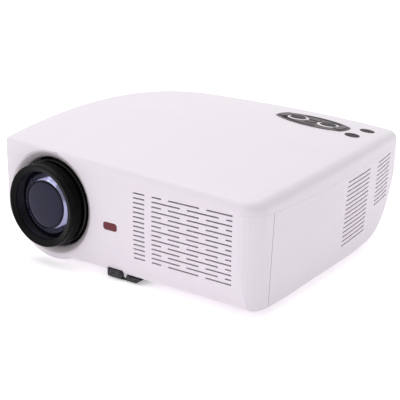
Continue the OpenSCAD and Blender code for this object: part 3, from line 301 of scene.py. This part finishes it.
# Dull mid grey, like the plate they sit in.
grey_key_abs = moulded_plastic(
    "mid_grey_key_satin", "#6F696C", "#676265", 0.40, 0.4, 0.008, specular=0.05)
# Dark with a touch of brown: two crisp dark dots on the white top.
round_button_abs = moulded_plastic(
    "dark_brown_grey_button_gloss", "#2C2428", "#262023", 0.36, 0.6, 0.004, specular=0.04)
print("dark plastics:", black_abs.name, hood_abs.name, ring_abs.name)

# %% [markdown]
# Inside, plastics are chosen for heat and strength and not for looks, and they show
# coarser surfaces: glass-filled nylon is slightly mottled, phenolic is matt.

# %% Plastics of the inner pieces
# Matt near-black with a mottle from the glass fibres: the two fans.
fan_nylon = moulded_plastic("black_glass_filled_nylon", "#17171A", "#1E1E21", 0.5, 0.8, 0.02)
# Matt and a little brown, as heat-proof mouldings are: the light box.
light_box_resin = moulded_plastic("black_phenolic_moulding", "#1C1B1D", "#242325", 0.55, 0.7, 0.02)
# The usual blue of this kind of socket: a clear colour mark at the rear.
socket_blue = moulded_plastic("blue_connector_nylon", "#2A4F9C", "#264890", 0.4, 0.5, 0.01)
# Shiny yellow tape wound round a transformer.
core_tape = moulded_plastic("yellow_polyester_tape", "#D6BE42", "#C9B03A", 0.35, 1.2, 0.02)
# Pale yellow and dull: the coating that makes an LED's light white.
phosphor = moulded_plastic("yellow_phosphor_resin", "#E6DF9A", "#DDD48A", 0.5, 0.6, 0.01)
print("plastics:", len(bpy.data.materials))

# %% [markdown]
# ## Rubber and the grained stand
#
# The feet are soft rubber with almost no shine. The stand at the front edge is black
# too, but its pad has a coarse grain, like sandpaper, so that a fingertip can pull it
# down. That grain is a Voronoi pattern with cells near a millimetre, which is large
# enough to show as light and dark specks.

# %% Rubber and grain
def grained_rubber(name, colour, speck, cell_mm, depth_mm, roughness):
    """Rubber whose surface is a packed grain; the tops of the grains are paler."""
    material = bpy.data.materials.new(name)
    material.use_nodes = True
    tree = material.node_tree
    shader = tree.nodes["Principled BSDF"]
    shader.inputs["Roughness"].default_value = roughness
    shader.inputs["Specular IOR Level"].default_value = 0.35
    place = add_node(tree, "ShaderNodeTexCoord")
    cells = add_node(
        tree, "ShaderNodeTexVoronoi",
        {"Scale": per_mm(cell_mm)},
        {"Vector": (place, "Object")},
    )
    tops = add_node(
        tree, "ShaderNodeMapRange",
        {"From Min": 0.15, "From Max": 0.6, "To Min": 1.0, "To Max": 0.0},
        {"Value": (cells, "Distance")},
    )
    blend = add_node(
        tree, "ShaderNodeMix",
        {"data_type": "RGBA", 6: linear(colour), 7: linear(speck)},
        {0: (tops, "Result")},
    )
    tree.links.new(blend.outputs[2], shader.inputs["Base Color"])
    bump = add_node(
        tree, "ShaderNodeBump",
        {"Strength": 0.8, "Distance": depth_mm * MM},
        {"Height": (tops, "Result")},
    )
    tree.links.new(bump.outputs["Normal"], shader.inputs["Normal"])
    return material


# Dull black with hardly any shine: reads as soft.
foot_rubber = grained_rubber("black_nitrile_rubber", "#161517", "#1D1C1E", 0.8, 0.02, 0.85)
# Grey specks on black: reads as rough from a step away.
stand_rubber = grained_rubber("grained_black_elastomer", "#1B191C", "#55525A", 1.3, 0.15, 0.6)
print("rubbers:", foot_rubber.name, stand_rubber.name)

# %% [markdown]
# ## Metals
#
# Sheet steel, ground pins, brass inserts and the aluminium heat sink need a metallic
# surface with the marks of how they were made. A noise stretched along one direction
# gives rolled or drawn lines; the same pattern sets a little of the roughness, so that
# the reflections streak.

# %% Recipe for metals
def drawn_metal(name, colour, roughness, line_mm, stretch=(1, 1, 1)):
    """Metal with fine lines; stretch makes the lines long where it is small."""
    material = bpy.data.materials.new(name)
    material.use_nodes = True
    tree = material.node_tree
    shader = tree.nodes["Principled BSDF"]
    shader.inputs["Metallic"].default_value = 1.0
    shader.inputs["Base Color"].default_value = linear(colour)
    place = add_node(tree, "ShaderNodeTexCoord")
    stretched = add_node(
        tree, "ShaderNodeMapping", {"Scale": stretch}, {"Vector": (place, "Object")})
    lines = add_node(
        tree, "ShaderNodeTexNoise",
        {"Scale": per_mm(line_mm), "Detail": 2.0},
        {"Vector": (stretched, "Vector")},
    )
    rough = add_node(
        tree, "ShaderNodeMapRange",
        {"To Min": roughness - 0.06, "To Max": roughness + 0.08},
        {"Value": (lines, "Fac")},
    )
    tree.links.new(rough.outputs["Result"], shader.inputs["Roughness"])
    bump = add_node(
        tree, "ShaderNodeBump",
        {"Strength": 0.3, "Distance": 0.01 * MM},
        {"Height": (lines, "Fac")},
    )
    tree.links.new(bump.outputs["Normal"], shader.inputs["Normal"])
    return material


print("a stretch of 0.1 makes a line", round(1 / 0.1), "times as long as it is wide")

# %% [markdown]
# Each metal gets the width and the direction of its own lines: rolled sheet along its
# length, a ground rod round itself, a brass insert along its knurls, and a casting
# with no direction at all. The mirror is silver on glass, so its lines are 20 mm wide
# and so faint that they only keep it from looking computed.

# %% Metals of the drive, the pins and the mirror
# Cool grey with long soft streaks: thin plated sheet.
zinc_sheet = drawn_metal("zinc_plated_sheet_steel", "#B9BBC0", 0.34, 1.5, (0.1, 1, 1))
# Brighter and tighter: a rod ground to size.
ground_steel = drawn_metal("ground_steel_rod", "#A9ABB0", 0.22, 0.5, (1, 0.1, 1))
# Pale with straight lines from the die: an extrusion.
sink_metal = drawn_metal("extruded_aluminium", "#C2C4C8", 0.36, 0.8, (0.1, 1, 1))
# Dark and dull: a casting straight from its die.
cast_metal = drawn_metal("die_cast_zinc", "#85878C", 0.48, 1.2)
# Warm yellow with fine lines along its knurls.
brass = drawn_metal("turned_brass", "#C8A050", 0.28, 0.4, (1, 1, 0.2))
# Nearly perfect mirror: it carries the picture round the corner.
mirror_coat = drawn_metal("front_silvered_mirror", "#E6EAEE", 0.08, 20)
print("metals:", zinc_sheet.name, ground_steel.name, sink_metal.name, brass.name)

# %% [markdown]
# ## Glass and acrylic
#
# The lenses behind the front glass are coated, and a thin film on the shader gives
# them the cool bloom of such a coating. The plates in the light path are clear
# acrylic. The infrared window passes light that the eye does not see and looks like
# dark red plastic, so nearly all its transmission is turned down. Its IOR is a little
# low for acrylic, because at the true value the white room greys the red.

# %% Recipe for glass and acrylic
def clear_solid(name, colour, roughness, ior, film_nm=0.0, film_ior=1.38, transmission=1.0):
    """Glass or acrylic; film_nm is a coating's thickness in nanometres, film_ior its IOR."""
    material = bpy.data.materials.new(name)
    material.use_nodes = True
    tree = material.node_tree
    shader = tree.nodes["Principled BSDF"]
    shader.inputs["Roughness"].default_value = roughness
    shader.inputs["IOR"].default_value = ior
    shader.inputs["Transmission Weight"].default_value = transmission
    shader.inputs["Thin Film Thickness"].default_value = film_nm
    shader.inputs["Thin Film IOR"].default_value = film_ior
    place = add_node(tree, "ShaderNodeTexCoord")
    streak = add_node(
        tree, "ShaderNodeTexNoise",
        {"Scale": per_mm(30), "Detail": 1.0},
        {"Vector": (place, "Object")},
    )
    deeper = tuple(0.94 * c for c in linear(colour)[:3]) + (1,)
    blend = add_node(
        tree, "ShaderNodeMix",
        {"data_type": "RGBA", 6: linear(colour), 7: deeper},
        {0: (streak, "Fac")},
    )
    tree.links.new(blend.outputs[2], shader.inputs["Base Color"])
    return material


# Blue-violet depth with a cool bloom.
inner_lens_glass = clear_solid(
    "coated_flint_glass", "#8088C0", 0.02, 1.60, film_nm=520, transmission=0.85)
# Water-clear, with a trace of blue at the edges.
acrylic = clear_solid("clear_cast_acrylic", "#E8EFF2", 0.04, 1.49)
# Dark red and glossy: the one spot of colour on the front.
ir_acrylic = clear_solid(
    "dark_red_infrared_acrylic", "#661222", 0.07, 1.40, transmission=0.1)
# Nearly black and glossy: a display that is switched off.
lcd_glass = clear_solid("dark_lcd_glass", "#20232B", 0.08, 1.52, transmission=0.2)
print("clear materials:", inner_lens_glass.name, acrylic.name, ir_acrylic.name, lcd_glass.name)

# %% [markdown]
# ## Circuit boards
#
# A circuit board is glass-epoxy under a green lacquer, with paler copper tracks that
# run in straight lines beneath it. A brick pattern in two sizes gives tracks and pads
# without drawing any circuit. Through the slots only a hint of it is seen, but the
# part is also looked at from behind and apart.

# %% Circuit board
def circuit_board(name, lacquer, track, pad):
    """Lacquered board with straight tracks and small pads."""
    material = bpy.data.materials.new(name)
    material.use_nodes = True
    tree = material.node_tree
    shader = tree.nodes["Principled BSDF"]
    shader.inputs["Roughness"].default_value = 0.32
    place = add_node(tree, "ShaderNodeTexCoord")
    tracks = add_node(
        tree, "ShaderNodeTexBrick",
        {"Scale": per_mm(12), "Mortar Size": 0.05,
         "Color1": linear(lacquer), "Color2": linear(lacquer), "Mortar": linear(track)},
        {"Vector": (place, "Object")},
    )
    pads = add_node(
        tree, "ShaderNodeTexVoronoi", {"Scale": per_mm(4)}, {"Vector": (place, "Object")})
    spots = add_node(
        tree, "ShaderNodeMath", {"operation": "LESS_THAN", 1: 0.16}, {0: (pads, "Distance")})
    blend = add_node(
        tree, "ShaderNodeMix",
        {"data_type": "RGBA", 7: linear(pad)},
        {0: (spots, "Value"), 6: (tracks, "Color")},
    )
    tree.links.new(blend.outputs[2], shader.inputs["Base Color"])
    return material


# Glossy dark green with pale pads: the boards that carry chips.
green_board = circuit_board("green_lacquered_glass_epoxy", "#14502F", "#1F6A40", "#B9B7A6")
# Tan and cheaper: the usual board of a mains supply.
tan_board = circuit_board("tan_phenolic_paper_board", "#A88247", "#8F6C38", "#C9C5B6")
print("boards:", green_board.name, tan_board.name)

# %% [markdown]
# ## Floor finish
#
# Product photographs without a shadow are taken on a light table, a sheet of matt
# acrylic that is lit from beneath. The floor is such a sheet: its finish sends back
# nearly all the light that falls on it and adds a soft glow of its own, so the ground
# under the case stays white and the lower edges are lit from below. A very faint
# mottling keeps it from looking like empty space in close views.

# %% Finish the floor
# Matt and pale, with no reflection of the case.
light_table = moulded_plastic(
    "matt_white_acrylic_light_table", "#FAF8FA", "#F6F4F6", 0.9, 4.0, 0.02,
    specular=0.1, drift_mm=400)
glow = light_table.node_tree.nodes["Principled BSDF"]
glow.inputs["Emission Color"].default_value = linear("#FFFFFF")
glow.inputs["Emission Strength"].default_value = 0.38
floor.data.materials.append(light_table)
print("floor finished with", light_table.name)

# %% [markdown]
# ## Tools for pieces that stand in for CAD pieces
#
# Operators act on all that is selected, so one helper selects exactly what is meant.
# A second makes a copy of a CAD piece and merges it: the pieces arrive as loose
# triangles, and where a curve was built from short straight steps the steps would
# show as bands. The merged skin is shaded smooth, and edges sharper than a set angle
# stay crisp.

# %% Select, copy, merge and smooth
MERGE_DISTANCE = 0.004 * MM


def choose(*objects):
    """Selects only these objects; the last one is active."""
    bpy.ops.object.select_all(action="DESELECT")
    for one in objects:
        one.select_set(True)
        bpy.context.view_layer.objects.active = one


def smooth_copy(node, name, angle):
    """A merged and smoothed copy that stands in for a CAD node and rides on its body."""
    choose(nodes[node])
    bpy.ops.object.duplicate(linked=False)
    copy = bpy.context.object
    copy.name = copy.data.name = name
    del copy["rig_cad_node"]
    bpy.ops.object.mode_set(mode="EDIT")
    bpy.ops.mesh.select_all(action="SELECT")
    bpy.ops.mesh.remove_doubles(threshold=MERGE_DISTANCE)
    bpy.ops.object.mode_set(mode="OBJECT")
    bpy.ops.object.shade_smooth_by_angle(angle=math.radians(angle))
    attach(copy, nodes[node]["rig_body"])
    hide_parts(node)
    return copy


def finish_piece(piece, material):
    """Gives a piece one material."""
    piece.data.materials.clear()
    piece.data.materials.append(material)
    for face in piece.data.polygons:
        face.material_index = 0
    return piece


print("points closer than", MERGE_DISTANCE / MM, "mm are merged")

# %% [markdown]
# ## The white shells
#
# Front bezel, lower case, top cover and the front of the disc tray are one colour and
# meet at hairline seams, so their shading has to run on without a step. Weighted
# normals let the large faces win, and the area round a slot stays flat. The bezel and
# the lower case need a small smoothing angle, because long thin triangles near their
# slots would otherwise shade as streaks. The top cover has wider steps and takes 40
# degrees.

# %% Smooth the shells
def weighted(piece):
    """Lets large faces set the normals, so that flat areas round openings stay flat."""
    choose(piece)
    bpy.ops.object.modifier_add(type="WEIGHTED_NORMAL")
    piece.modifiers[-1].keep_sharp = True
    bpy.ops.object.modifier_apply(modifier=piece.modifiers[-1].name)
    return piece


SHELL_ANGLES = {"front_bezel": 9, "lower_case": 9, "top_cover": 40, "tray_front": 32}
for node, angle in SHELL_ANGLES.items():
    shell = weighted(smooth_copy(node, node + "_skin", angle))
    finish_piece(shell, white_abs)
    print(shell.name, len(shell.data.polygons), "faces")

# %% [markdown]
# ## Turned lens pieces
#
# Hood, focus ring, recess and glass are round, and the eye finds every corner on a
# round edge against white. A lathe is copied here: a circle with many steps is put at
# the first point of a profile, extruded along the lens axis and scaled to the next
# radius, again and again. Depths are measured back from the front of the hood, which
# the CAD model gives.

# %% Turn a profile about the lens axis
HOOD_LOW, HOOD_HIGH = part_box("lens_hood")
LENS_X, LENS_Z = ((HOOD_LOW[axis] + HOOD_HIGH[axis]) / 2 for axis in (0, 2))
HOOD_FRONT = HOOD_LOW[1]


def turned_piece(name, profile, steps=192, closed=True):
    """Turns (radius, depth) points in mm; closed joins the last point to the first."""
    bpy.ops.object.select_all(action="DESELECT")
    radius, depth = profile[0]
    bpy.ops.mesh.primitive_circle_add(
        vertices=steps, radius=radius * MM,
        location=(LENS_X, HOOD_FRONT + depth * MM, LENS_Z), rotation=(math.pi / 2, 0, 0))
    piece = bpy.context.object
    piece.name = piece.data.name = name
    bpy.ops.object.mode_set(mode="EDIT")
    bpy.ops.mesh.select_all(action="SELECT")
    for next_radius, next_depth in list(profile[1:]) + ([profile[0]] if closed else []):
        step = (0, (next_depth - depth) * MM, 0)
        bpy.ops.mesh.extrude_region_move(TRANSFORM_OT_translate={"value": step})
        ratio = next_radius / radius
        bpy.ops.transform.resize(value=(ratio, 1, ratio))
        radius, depth = next_radius, next_depth
    bpy.ops.mesh.select_all(action="SELECT")
    bpy.ops.mesh.remove_doubles(threshold=0.002 * MM)
    if not closed:
        bpy.ops.mesh.fill_holes(sides=0)
    bpy.ops.mesh.select_all(action="SELECT")
    bpy.ops.mesh.normals_make_consistent(inside=False)
    bpy.ops.object.mode_set(mode="OBJECT")
    bpy.ops.object.transform_apply(location=True, rotation=True, scale=True)
    return piece


def stand_in(piece, node, material, angle=30):
    """Smooths a new piece and lets it stand for a CAD node on that node's body."""
    choose(piece)
    bpy.ops.object.shade_smooth_by_angle(angle=math.radians(angle))
    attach(piece, nodes[node]["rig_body"])
    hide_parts(node)
    return finish_piece(piece, material)


print("lens axis:", round(LENS_X, 4), round(LENS_Z, 4), "hood front:", round(HOOD_FRONT, 4))

# %% [markdown]
# ## The hood
#
# The hood is a deep black ring whose mouth narrows in one sloped step. Its front edge
# is rounded, and five fine grooves run round its side where fingers hold it. The
# profile goes from the inside of the mouth over the front edge, along the side with
# its grooves, round the back and home through the bore.

# %% Turn the hood
HOOD_RADIUS, GROOVE_DEPTH, GROOVE_SPACING = 44.7, 0.45, 1.5

hood_profile = [(37.0, 3.8), (37.2, 2.6), (40.0, 1.5), (42.6, 0.15)]
hood_profile += [(43.2, 0.0), (44.0, 0.3), (44.5, 0.9), (HOOD_RADIUS, 2.0)]
for k in range(5):
    start, bottom = 7.2 + GROOVE_SPACING * k, HOOD_RADIUS - GROOVE_DEPTH
    hood_profile += [(HOOD_RADIUS, start), (bottom, start + 0.3)]
    hood_profile += [(bottom, start + 0.8), (HOOD_RADIUS, start + 1.1)]
hood_profile += [(HOOD_RADIUS, 16.5), (43.5, 18.4), (39.6, 18.4), (39.6, 3.8)]
hood = turned_piece("lens_hood_turned", hood_profile)
stand_in(hood, "lens_hood", hood_abs)
print("hood:", len(hood.data.polygons), "faces")

# %% [markdown]
# ## The recess
#
# Behind the hood the white front opens in a pale grey recess. It flares towards the
# front, so that its upper left and its lower edge show past the hood as two grey
# crescents, one lit and one in shade.

# %% Turn the recess
recess_profile = [(55.3, 16.6), (55.0, 16.8), (49.8, 20.8), (49.4, 21.6)]
recess_profile += [(49.4, 36.0), (56.98, 36.0), (56.98, 16.6)]
recess = turned_piece("lens_recess_flared", recess_profile)
stand_in(recess, "lens_recess", liner_abs)
print("recess:", len(recess.data.polygons), "faces")

# %% [markdown]
# ## The focus ring
#
# Fingers turn this ring through the gap round the hood. It has 120 fine ribs along
# its side, made by drawing every second pair of vertex columns towards the axis, and a
# small bevel at the front whose edge catches the light as a thin bright arc.

# %% Turn and rib the focus ring
FOCUS_RADIUS, RIB_DEPTH, RIBS = 46.6, 0.45, 120
COLUMNS = 4 * RIBS
RIB_START, RIB_END = 21.5, 30.5

side = [(FOCUS_RADIUS, depth) for depth in (20.8, 22.0, 30.0, 32.0)]
ring = turned_piece(
    "focus_ring_ribbed", [(42.0, 20.0), (45.8, 20.0)] + side + [(42.0, 32.0)], steps=COLUMNS)
choose(ring)
for vertex in ring.data.vertices:
    x, z = vertex.co.x - LENS_X, vertex.co.z - LENS_Z
    depth = (vertex.co.y - HOOD_FRONT) / MM
    column = round(math.degrees(math.atan2(z, x)) * COLUMNS / 360)
    on_side = math.hypot(x, z) > 46 * MM and RIB_START < depth < RIB_END
    vertex.select = on_side and column % 4 in (0, 1)
print("focus ring:", sum(v.select for v in ring.data.vertices), "vertices to draw in")

# %% [markdown]
# The chosen columns are then scaled towards the ring's own middle, across the lens
# axis only, which leaves a rib of full height between every two of them.

# %% Draw the columns in
bpy.ops.object.mode_set(mode="EDIT")
bpy.ops.mesh.select_mode(type="VERT")
draw_in = 1 - RIB_DEPTH / FOCUS_RADIUS
bpy.ops.transform.resize(value=(draw_in, 1, draw_in))
bpy.ops.object.mode_set(mode="OBJECT")
stand_in(ring, "focus_ring", ring_abs, angle=20)
print("ribs:", RIBS)

# %% [markdown]
# ## Coated glass
#
# Seen from outside, a coated projector lens is a dark, blue-violet mirror: the middle
# is gently domed and mirrors the room as a dull blue-grey, and a steeper zone round it
# mirrors the open sky only where the black hood does not stand in the way. There it
# shows as a pale lilac crescent. The coating is given as a metallic share, because a
# lilac reflection is what the eye sees of it. Only that steep zone is a true mirror: the
# dull blue-grey of the middle is a painted reflection of the room, put into the glass's
# colour, and the near black of the zones round it is painted shade, the mirrored hood.

# %% Recipe for coated glass
def coated_glass(name, colour, mirror, roughness, specular):
    """Dark glass seen from outside; mirror is how much of a metallic coating it has."""
    material = bpy.data.materials.new(name)
    material.use_nodes = True
    tree = material.node_tree
    shader = tree.nodes["Principled BSDF"]
    shader.inputs["Metallic"].default_value = mirror
    shader.inputs["Roughness"].default_value = roughness
    shader.inputs["Specular IOR Level"].default_value = specular
    place = add_node(tree, "ShaderNodeTexCoord")
    drift = add_node(
        tree, "ShaderNodeTexNoise",
        {"Scale": per_mm(14), "Detail": 1.0},
        {"Vector": (place, "Object")},
    )
    deeper = tuple(0.7 * c for c in linear(colour)[:3]) + (1,)
    blend = add_node(
        tree, "ShaderNodeMix",
        {"data_type": "RGBA", 6: linear(colour), 7: deeper},
        {0: (drift, "Fac")},
    )
    tree.links.new(blend.outputs[2], shader.inputs["Base Color"])
    return material


# Dark blue-grey painted reflection: the room mirrored in the middle of the lens, as colour.
painted_reflection_dome_glass = coated_glass("blue_violet_glass_painted_reflection", "#1C1A34", 0.0, 0.06, 0.17)
# Pale lilac mirror: the bright crescent.
step_glass = coated_glass("lilac_coated_glass", "#9C9CBE", 0.9, 0.14, 0.5)
# Almost black violet painted shade: the black hood as mirrored in the zones between
# the middle, the crescent and the hood.
painted_shade_rim_glass = coated_glass("dark_violet_glass_rim_painted_shade", "#060818", 0.0, 0.08, 0.12)
print("coated glasses:", painted_reflection_dome_glass.name, step_glass.name, painted_shade_rim_glass.name)

# %% [markdown]
# ## The front glass
#
# The profile of the front glass has a gentle dome, a narrow band painted dark as shade
# and a steep zone, and the steep one gets the stronger coating. The face of the dome
# follows a parabola, which is what a shallow sphere looks like. It is turned as a solid
# from its middle, so the hole at the tip is filled at the end.

# %% Turn the front glass
DOME, BAND, STEP = 24.5, 26.5, 32.5

glass_profile = [(0.3, 7.2)]
glass_profile += [(r, 7.2 + 1.0 * (r / DOME) ** 2) for r in (4, 8, 12, 16, 20, DOME)]
glass_profile += [(BAND, 8.9), (28.0, 9.8), (30.0, 11.0), (STEP, 12.5), (33.5, 12.9)]
glass_profile += [(37.0, 13.6), (37.2, 16.0), (30.0, 17.0), (0.3, 18.5)]
front_glass = turned_piece("front_lens_element", glass_profile, closed=False)
# The glass starts with the painted reflection of the room all over.
stand_in(front_glass, "front_glass", painted_reflection_dome_glass, angle=50)
print("front glass:", len(front_glass.data.polygons), "faces")

# %% [markdown]
# Which coating a face gets depends on how far its middle lies from the lens axis.

# %% Coat the front glass: painted reflection, mirror and painted shade
# The mirror coating of the steep zone, and the painted shade of the mirrored hood.
front_glass.data.materials.append(step_glass)
front_glass.data.materials.append(painted_shade_rim_glass)
for face in front_glass.data.polygons:
    reach = math.hypot(face.center.x - LENS_X, face.center.z - LENS_Z) / MM
    # Middle: painted reflection; steep zone: mirror; the rest: painted shade.
    face.material_index = 0 if reach < DOME else 1 if BAND < reach < STEP else 2
zones = [sum(f.material_index == k for f in front_glass.data.polygons) for k in range(3)]
print("faces in dome, step and rim:", zones)

# %% [markdown]
# ## The pieces behind the glass
#
# Barrel, sleeve and inner glasses are turned too, but they are seen only when the lens
# is taken apart, so their CAD meshes are merged and smoothed.

# %% Smooth the inner lens parts
INNER_LENS_PARTS = {
    "lens_barrel": ("lens_barrel_turned", 25, black_abs, "lens_black"),
    "lens_sleeve": ("lens_sleeve_turned", 25, black_abs, "lens_black"),
    "middle_glass": ("middle_lens_element", 40, inner_lens_glass, "lens_glass"),
    "rear_glass": ("rear_lens_element", 40, inner_lens_glass, "lens_glass"),
}
for node, (name, angle, material, slot) in INNER_LENS_PARTS.items():
    finish_piece(smooth_copy(node, name, angle), material)
print("inner lens parts:", len(INNER_LENS_PARTS))

# %% [markdown]
# ## The printed keypad
#
# The keypad is one oval plate of grey plastic. Two broad white rings run round the
# disc keys, and two dark bands follow the long edges, one above and one below. They
# are printed, so they belong to the finish and not to the shape. The material works
# out how far a point lies from each ring's centre and from the middle of the oval,
# and picks white, dark or grey from that. The plate's middle and half sizes come from
# the CAD model.

# %% Measure the plate
PLATE_LOW, PLATE_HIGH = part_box("keypad_plate")
PLATE_X, PLATE_Y = ((PLATE_LOW[axis] + PLATE_HIGH[axis]) / 2 for axis in (0, 1))
HALF_LONG, HALF_WIDE = ((PLATE_HIGH[axis] - PLATE_LOW[axis]) / 2 for axis in (0, 1))
print("plate half sizes in mm:", round(HALF_LONG / MM, 1), round(HALF_WIDE / MM, 1))

# %% [markdown]
# A printed shape is a question about each point: does it lie inside? Two helpers ask
# it. One gives 1 where a value lies between two limits and 0 elsewhere. The other
# gives the distance from a centre, with each axis divided by a length of its own, so
# that the edge of an oval comes out as 1 all round.

# %% Helpers for printed shapes
def span(tree, source, low, high):
    """1 where a (node, output) lies between low and high, and 0 elsewhere."""
    above = add_node(tree, "ShaderNodeMath", {"operation": "GREATER_THAN", 1: low}, {0: source})
    below = add_node(tree, "ShaderNodeMath", {"operation": "LESS_THAN", 1: high}, {0: source})
    return add_node(
        tree, "ShaderNodeMath", {"operation": "MULTIPLY"},
        {0: (above, "Value"), 1: (below, "Value")})


def distance_from(tree, place, x, y, across, along):
    """Distance from a point in the plane, with each axis divided by a length."""
    moved = add_node(
        tree, "ShaderNodeVectorMath", {"operation": "SUBTRACT", 1: (x, y, 0)},
        {0: (place, "Object")})
    scaled = add_node(
        tree, "ShaderNodeVectorMath", {"operation": "MULTIPLY", 1: (1 / across, 1 / along, 0)},
        {0: (moved, "Vector")})
    return add_node(tree, "ShaderNodeVectorMath", {"operation": "LENGTH"}, {0: (scaled, "Vector")})


# Dull mid grey, the ground on which the bands and rings are printed.
keypad_print = moulded_plastic(
    "printed_grey_keypad_satin", "#6C6665", "#635E60", 0.40, 0.4, 0.008, specular=0.05)
print("keypad ground:", keypad_print.name)

# %% [markdown]
# The dark bands lie in a zone near the edge of the oval, from 70 to 93 percent of the
# way out. The upper one is shifted to the right and the lower one to the left, which
# gives the plate its swing. Each is a piece of that zone: a stretch along X, and the
# half of the plate above or below the middle.

# %% Print the dark bands
BAND_FROM, BAND_TO = 0.70, 0.93
BANDS = {"GREATER_THAN": (-19, 30), "LESS_THAN": (-34, 14)}

tree = keypad_print.node_tree
shader = tree.nodes["Principled BSDF"]
ground = shader.inputs["Base Color"].links[0].from_node
place = add_node(tree, "ShaderNodeTexCoord")
oval = distance_from(tree, place, PLATE_X, PLATE_Y, HALF_LONG, HALF_WIDE)
edge_zone = span(tree, (oval, "Value"), BAND_FROM, BAND_TO)
parts = add_node(tree, "ShaderNodeSeparateXYZ", links={"Vector": (place, "Object")})
halves = []
for operation, (left, right_end) in BANDS.items():
    stretch = span(tree, (parts, "X"), PLATE_X + left * MM, PLATE_X + right_end * MM)
    half = add_node(
        tree, "ShaderNodeMath", {"operation": operation, 1: PLATE_Y}, {0: (parts, "Y")})
    halves.append(add_node(
        tree, "ShaderNodeMath", {"operation": "MULTIPLY"},
        {0: (stretch, "Value"), 1: (half, "Value")}))
either = add_node(
    tree, "ShaderNodeMath", {"operation": "ADD"},
    {0: (halves[0], "Value"), 1: (halves[1], "Value")})
bands = add_node(
    tree, "ShaderNodeMath", {"operation": "MULTIPLY"},
    {0: (either, "Value"), 1: (edge_zone, "Value")})
painted = add_node(
    tree, "ShaderNodeMix", {"data_type": "RGBA", 7: linear("#151214")},
    {0: (bands, "Value"), 6: (ground, 2)})
print("dark bands:", len(halves))

# %% [markdown]
# The white rings are laid over the bands: the distance from each ring's centre is
# compared with the ring's radius, give or take half its width.

# %% Print the white rings
RING_OFFSET, RING_RADIUS, HALF_RING = 20.2 * MM, 12.0 * MM, 1.1 * MM

for side_sign in (-1, 1):
    reach = distance_from(tree, place, PLATE_X + side_sign * RING_OFFSET, PLATE_Y, 1, 1)
    ring_zone = span(tree, (reach, "Value"), RING_RADIUS - HALF_RING, RING_RADIUS + HALF_RING)
    painted = add_node(
        tree, "ShaderNodeMix", {"data_type": "RGBA", 7: linear("#EFEAEE")},
        {0: (ring_zone, "Value"), 6: (painted, 2)})
tree.links.new(painted.outputs[2], shader.inputs["Base Color"])
nodes["keypad_plate"].material_slots[0].material = keypad_print
print("keypad material:", len(tree.nodes), "nodes")

# %% [markdown]
# ## Finishes for the rest
#
# Every other CAD piece keeps its mesh, and only its material slot is filled. The list
# pairs each finish with the pieces that are made of it.

# %% Fill the material slots of the other CAD pieces
finishes = {
    disc_key_abs: ["left_disc_key", "right_disc_key"],
    grey_key_abs: ["upper_centre_key", "lower_centre_key", "left_end_key", "right_end_key"],
    round_button_abs: ["power_button", "source_button"],
    white_abs: ["keypad_rings"],
    liner_abs: ["eject_button"],
    ir_acrylic: ["ir_window"],
    stand_rubber: ["tilt_stand"],
    ground_steel: ["stand_pin", "tray_rails", "guide_rods", "spindle_motor"],
    zinc_sheet: ["drive_case", "drive_shelf", "hdmi_sockets", "usb_sockets"],
    sink_metal: ["heat_sink"],
    cast_metal: ["laser_sled"],
    fan_nylon: ["exhaust_fan_frame", "exhaust_fan_rotor", "board_fan_frame", "board_fan_rotor"],
    light_box_resin: ["light_box", "light_box_cover"],
    black_abs: ["disc_tray", "spindle_hub", "rear_panel", "mains_inlet", "rocker_switch",
                "av_jacks", "speaker", "power_capacitors"],
    socket_blue: ["vga_socket"],
    core_tape: ["power_transformer"],
    phosphor: ["led_module"],
    acrylic: ["fresnel_lenses", "condenser_lens"],
    lcd_glass: ["lcd_panel"],
    mirror_coat: ["fold_mirror"],
    green_board: ["main_board", "keypad_board"],
    tan_board: ["power_board"],
}
for material, names in finishes.items():
    for name in names:
        nodes[name].material_slots[0].material = material
print("finished nodes:", sum(map(len, finishes.values())))

# %% [markdown]
# ## Feet, inserts and screws
#
# These share one CAD piece, but they are made of rubber, brass and steel. A merged
# copy gets three materials, and each face takes the one that its place calls for: the
# screws reach far up into the case, the inserts for a ceiling mount end a few
# millimetres inside it at the corners of a rectangle of 150 by 100 mm, and what is
# left are the feet.

# %% Sort the fittings by material
fittings = smooth_copy("base_fittings", "base_fittings_sorted", 30)
finish_piece(fittings, foot_rubber)
fittings.data.materials.append(brass)
fittings.data.materials.append(ground_steel)

CASE_FLOOR = 7 * MM
INSERT_TOP = CASE_FLOOR + 8.5 * MM
MOUNT_Y = -39.5
INSERTS = [(x * MM, (MOUNT_Y + y) * MM) for x in (-75, 75) for y in (-50, 50)]
for face in fittings.data.polygons:
    c = face.center
    if c.z > INSERT_TOP:
        face.material_index = 2
    elif any(math.hypot(c.x - x, c.y - y) < 4 * MM for x, y in INSERTS):
        face.material_index = 1
kinds = [sum(f.material_index == k for f in fittings.data.polygons) for k in range(3)]
print("faces of rubber, brass and steel:", kinds)
